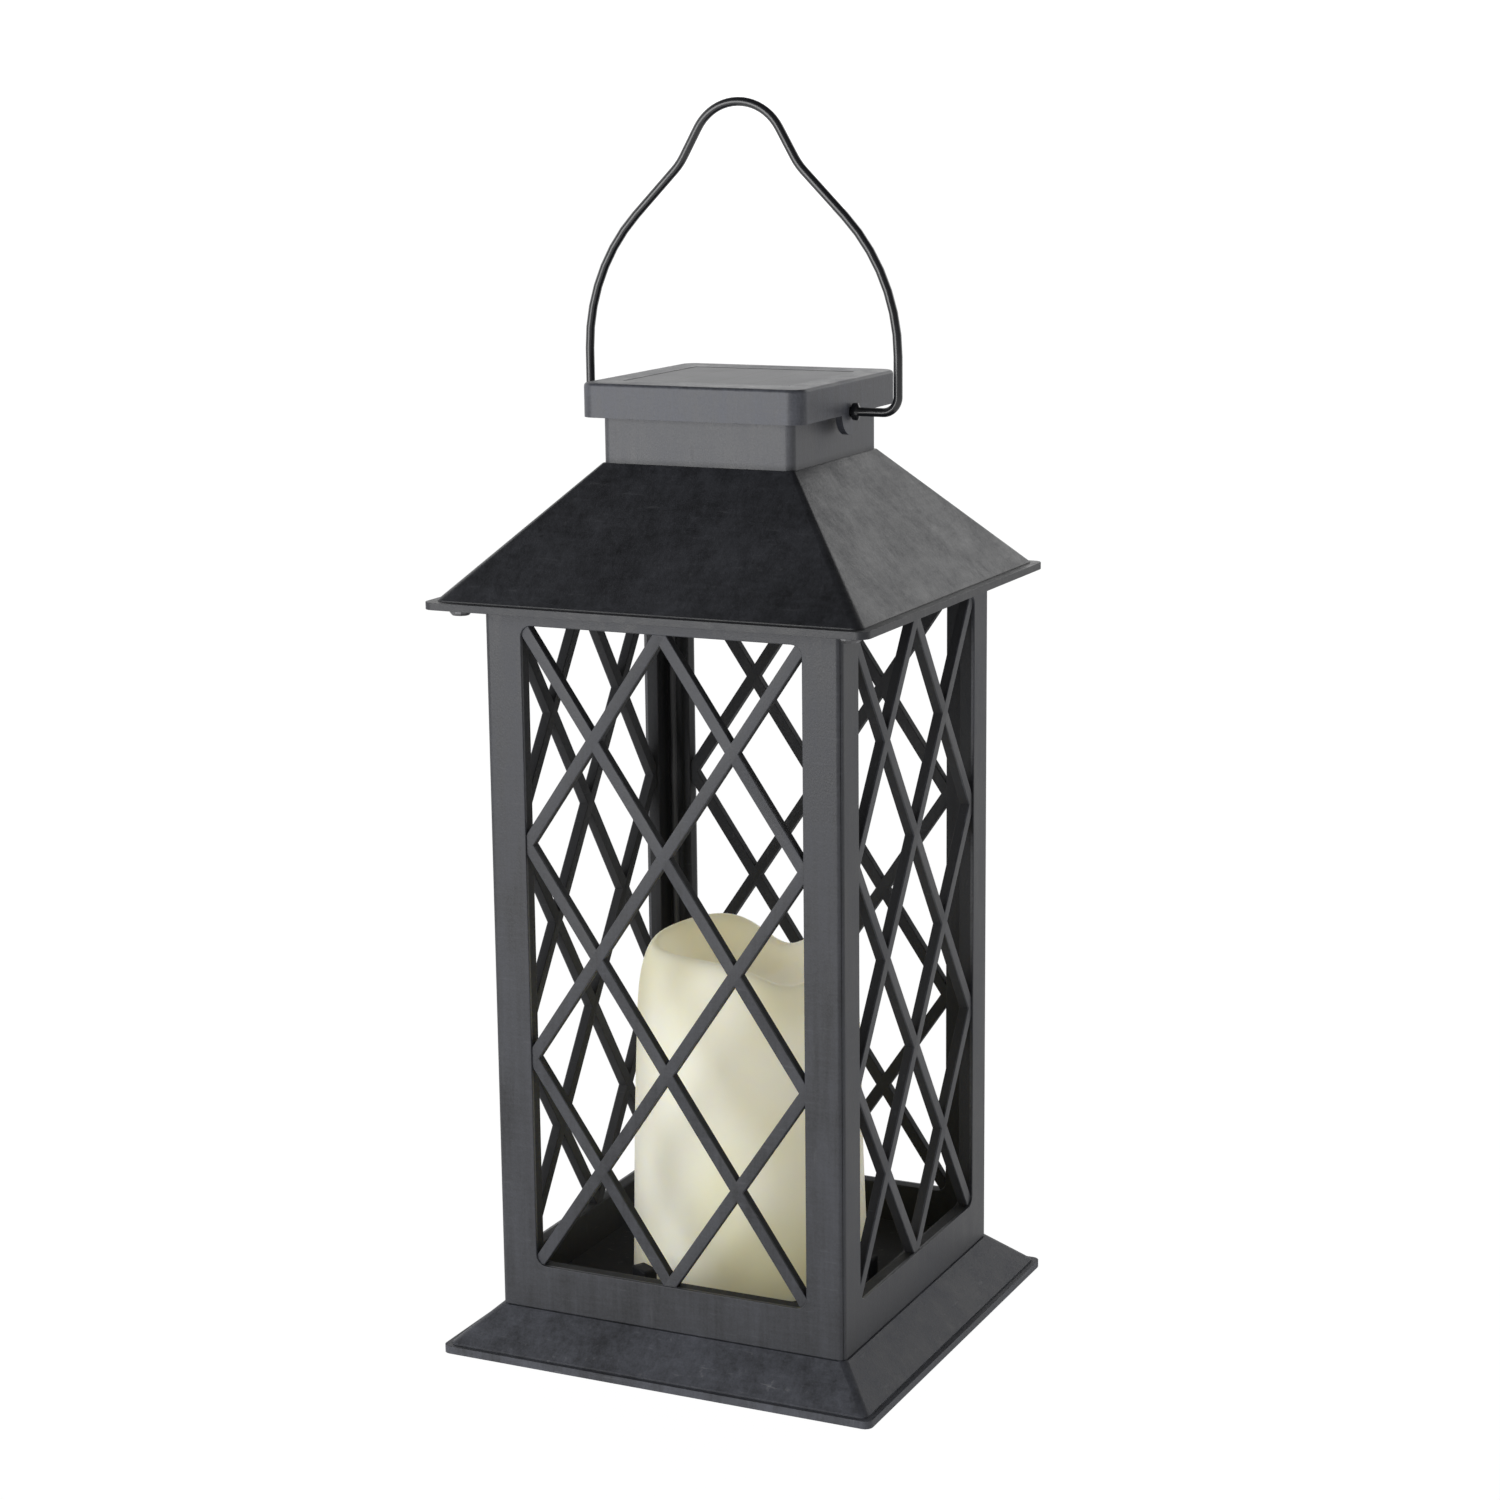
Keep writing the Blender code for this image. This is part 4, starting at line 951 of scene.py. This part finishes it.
def melt(point):
    """Moves one point of the candle: rim height by angle, and slow dents in the side."""
    angle = math.atan2(point.y, point.x)
    radius = math.hypot(point.x, point.y)
    share = min(1.0, max(0.0, (point.z - MELT_FROM) / MELT_OVER))
    share = share * share * (3.0 - 2.0 * share)
    inner = min(1.0, radius / HOLLOW_R)
    lift = rim_lift(angle) * MM * share * inner * inner
    wave = math.sin(3.0 * angle + point.z * 55.0) + 0.7 * math.sin(5.0 * angle - point.z * 90.0 + 1.3)
    dent = DENT_DEEP * wave * min(1.0, (point.z - FOOT_Z) / DENT_OVER)
    if radius < DENT_INSIDE:
        dent = 0.0
    scale = 1.0 + dent / max(radius, 1.0 * MM)
    return Vector((point.x * scale, point.y * scale, point.z + lift))


def candle():
    bpy.ops.mesh.primitive_circle_add(vertices=48, radius=FOOT_R - 0.25 * MM, location=(0, 0, FOOT_Z))
    piece = take(bpy.context.object)
    bpy.ops.object.transform_apply()
    piece.name = "pillar_candle"
    bpy.ops.object.mode_set(mode="EDIT")
    bpy.ops.mesh.select_mode(type="EDGE")
    bpy.ops.mesh.select_all(action="SELECT")
    here_r, here_z = FOOT_R - 0.25 * MM, FOOT_Z
    for radius, height in OUTSIDE:
        radius, height = radius * MM, height * MM
        pull(z=height - here_z)
        resize(radius / here_r, radius / here_r, 1.0, (0, 0, height))
        here_r, here_z = radius, height
    bpy.ops.mesh.edge_face_add()
    bpy.ops.mesh.select_mode(type="FACE")
    bpy.ops.mesh.inset(thickness=3.0 * MM)
    bpy.ops.mesh.merge(type="CENTER")
    bpy.ops.mesh.select_all(action="SELECT")
    bpy.ops.mesh.normals_make_consistent(inside=False)
    close_edit(piece)
    for vertex in piece.data.vertices:
        vertex.co = melt(vertex.co)
    thick = piece.modifiers.new("wall", "SOLIDIFY")
    thick.thickness = WALL
    thick.offset = -1.0
    bpy.ops.object.modifier_apply(modifier=thick.name)
    fine = piece.modifiers.new("fine", "SUBSURF")
    fine.levels = 2
    fine.render_levels = 2
    bpy.ops.object.modifier_apply(modifier=fine.name)
    bpy.ops.object.shade_smooth()
    return piece


# %% [markdown]
# The shell is ivory with uneven yellow-green patches, as wax that was poured in layers. Light enters
# the thin shell and leaves it again all round, which evens out its shading. Subsurface scattering
# gives most of that, and a weak glow stands for the daylight that comes through from the far side.


# %% Wax
PAINTED_THROUGH_GLOW = 0.165


def wax():
    skin = Finish("ivory_wax", Roughness=0.45, IOR=1.44, Subsurface_Weight=1.0, Subsurface_Scale=0.006)
    skin.shader.inputs["Subsurface Radius"].default_value = (1.0, 0.85, 0.55)
    broad = ((skin.noise(22.0, 1.5, skin.stretched(1.0, 1.0, 0.7)) - 0.42) * 3.2).clamped()
    fine = skin.noise(160.0, 3.0)
    warm = skin.blend(broad, (0.93, 0.89, 0.74, 1), (0.80, 0.76, 0.48, 1))
    colour = skin.blend(fine * 0.25, warm, (0.94, 0.90, 0.73, 1))
    skin.feed("Base Color", colour)
    # painted light: the wax glows in its own colour, for daylight that shines through the shell
    skin.feed("Emission Color", colour)
    skin.shader.inputs["Emission Strength"].default_value = PAINTED_THROUGH_GLOW
    skin.feed("Roughness", 0.36 + fine * 0.16)
    skin.relief(skin.noise(70.0, 3.0) * 0.8 + fine * 0.2, 0.4 * MM, 0.25)
    return skin.material


settle(candle(), "lantern", "candle_wax", wax(), "candle_shell")

# %% [markdown]
# ## Pieces that keep their CAD shape
# Screws, the ceiling plate, the candle's base and everything inside the candle already have their
# right shape, so they only get a finish: blackened or bright steel, plain nylon, a green board and
# so on. One function makes them all, with a slow change of tone and a fine relief.


# %% Small finishes
def small_finish(name, dark, light, roughness, metallic=0.0, scale=180.0):
    skin = Finish(name, Roughness=roughness, Metallic=metallic)
    cloud = skin.noise(scale, 3.0)
    skin.feed("Base Color", skin.blend(cloud, (*dark, 1), (*light, 1)))
    skin.feed("Roughness", roughness - 0.08 + cloud * 0.16)
    skin.relief(skin.noise(scale * 9.0, 2.0), 0.02 * MM, 0.3)
    return skin.material


blackened = small_finish("blackened_steel", (0.10, 0.10, 0.10), (0.20, 0.20, 0.21), 0.35, 1.0)
ivory = small_finish("ivory_nylon", (0.52, 0.50, 0.42), (0.62, 0.60, 0.52), 0.5)
bright = small_finish("bright_spring_steel", (0.55, 0.54, 0.52), (0.68, 0.67, 0.65), 0.25, 1.0)
small = {
    "ceiling_plate": housing_plastic, "candle_base": ivory, "battery_door": ivory, "led_holder": ivory,
    "battery_spring": bright, "battery_contact": bright, "switch_body": bright,
    "battery_cell": small_finish("green_sleeve", (0.03, 0.20, 0.08), (0.05, 0.27, 0.12), 0.3),
    "circuit_board": small_finish("solder_mask", (0.01, 0.10, 0.04), (0.02, 0.15, 0.06), 0.35, 0.0, 400.0),
    "switch_slider": small_finish("black_nylon", (0.015, 0.015, 0.015), (0.03, 0.03, 0.03), 0.5),
    "led_lamp": small_finish("warm_epoxy", (0.75, 0.60, 0.30), (0.85, 0.72, 0.42), 0.15),
    "led_lead": small_finish("red_insulation", (0.30, 0.02, 0.02), (0.40, 0.04, 0.03), 0.45),
    "solar_lead": small_finish("black_insulation", (0.012, 0.012, 0.012), (0.025, 0.025, 0.027), 0.45),
}
kept = {name: small.get(name, blackened) for name in nodes if name in small or "screw" in name}
for name, finish in kept.items():
    nodes[name].data.materials.clear()
    nodes[name].data.materials.append(finish)
print("kept CAD pieces", len(kept))
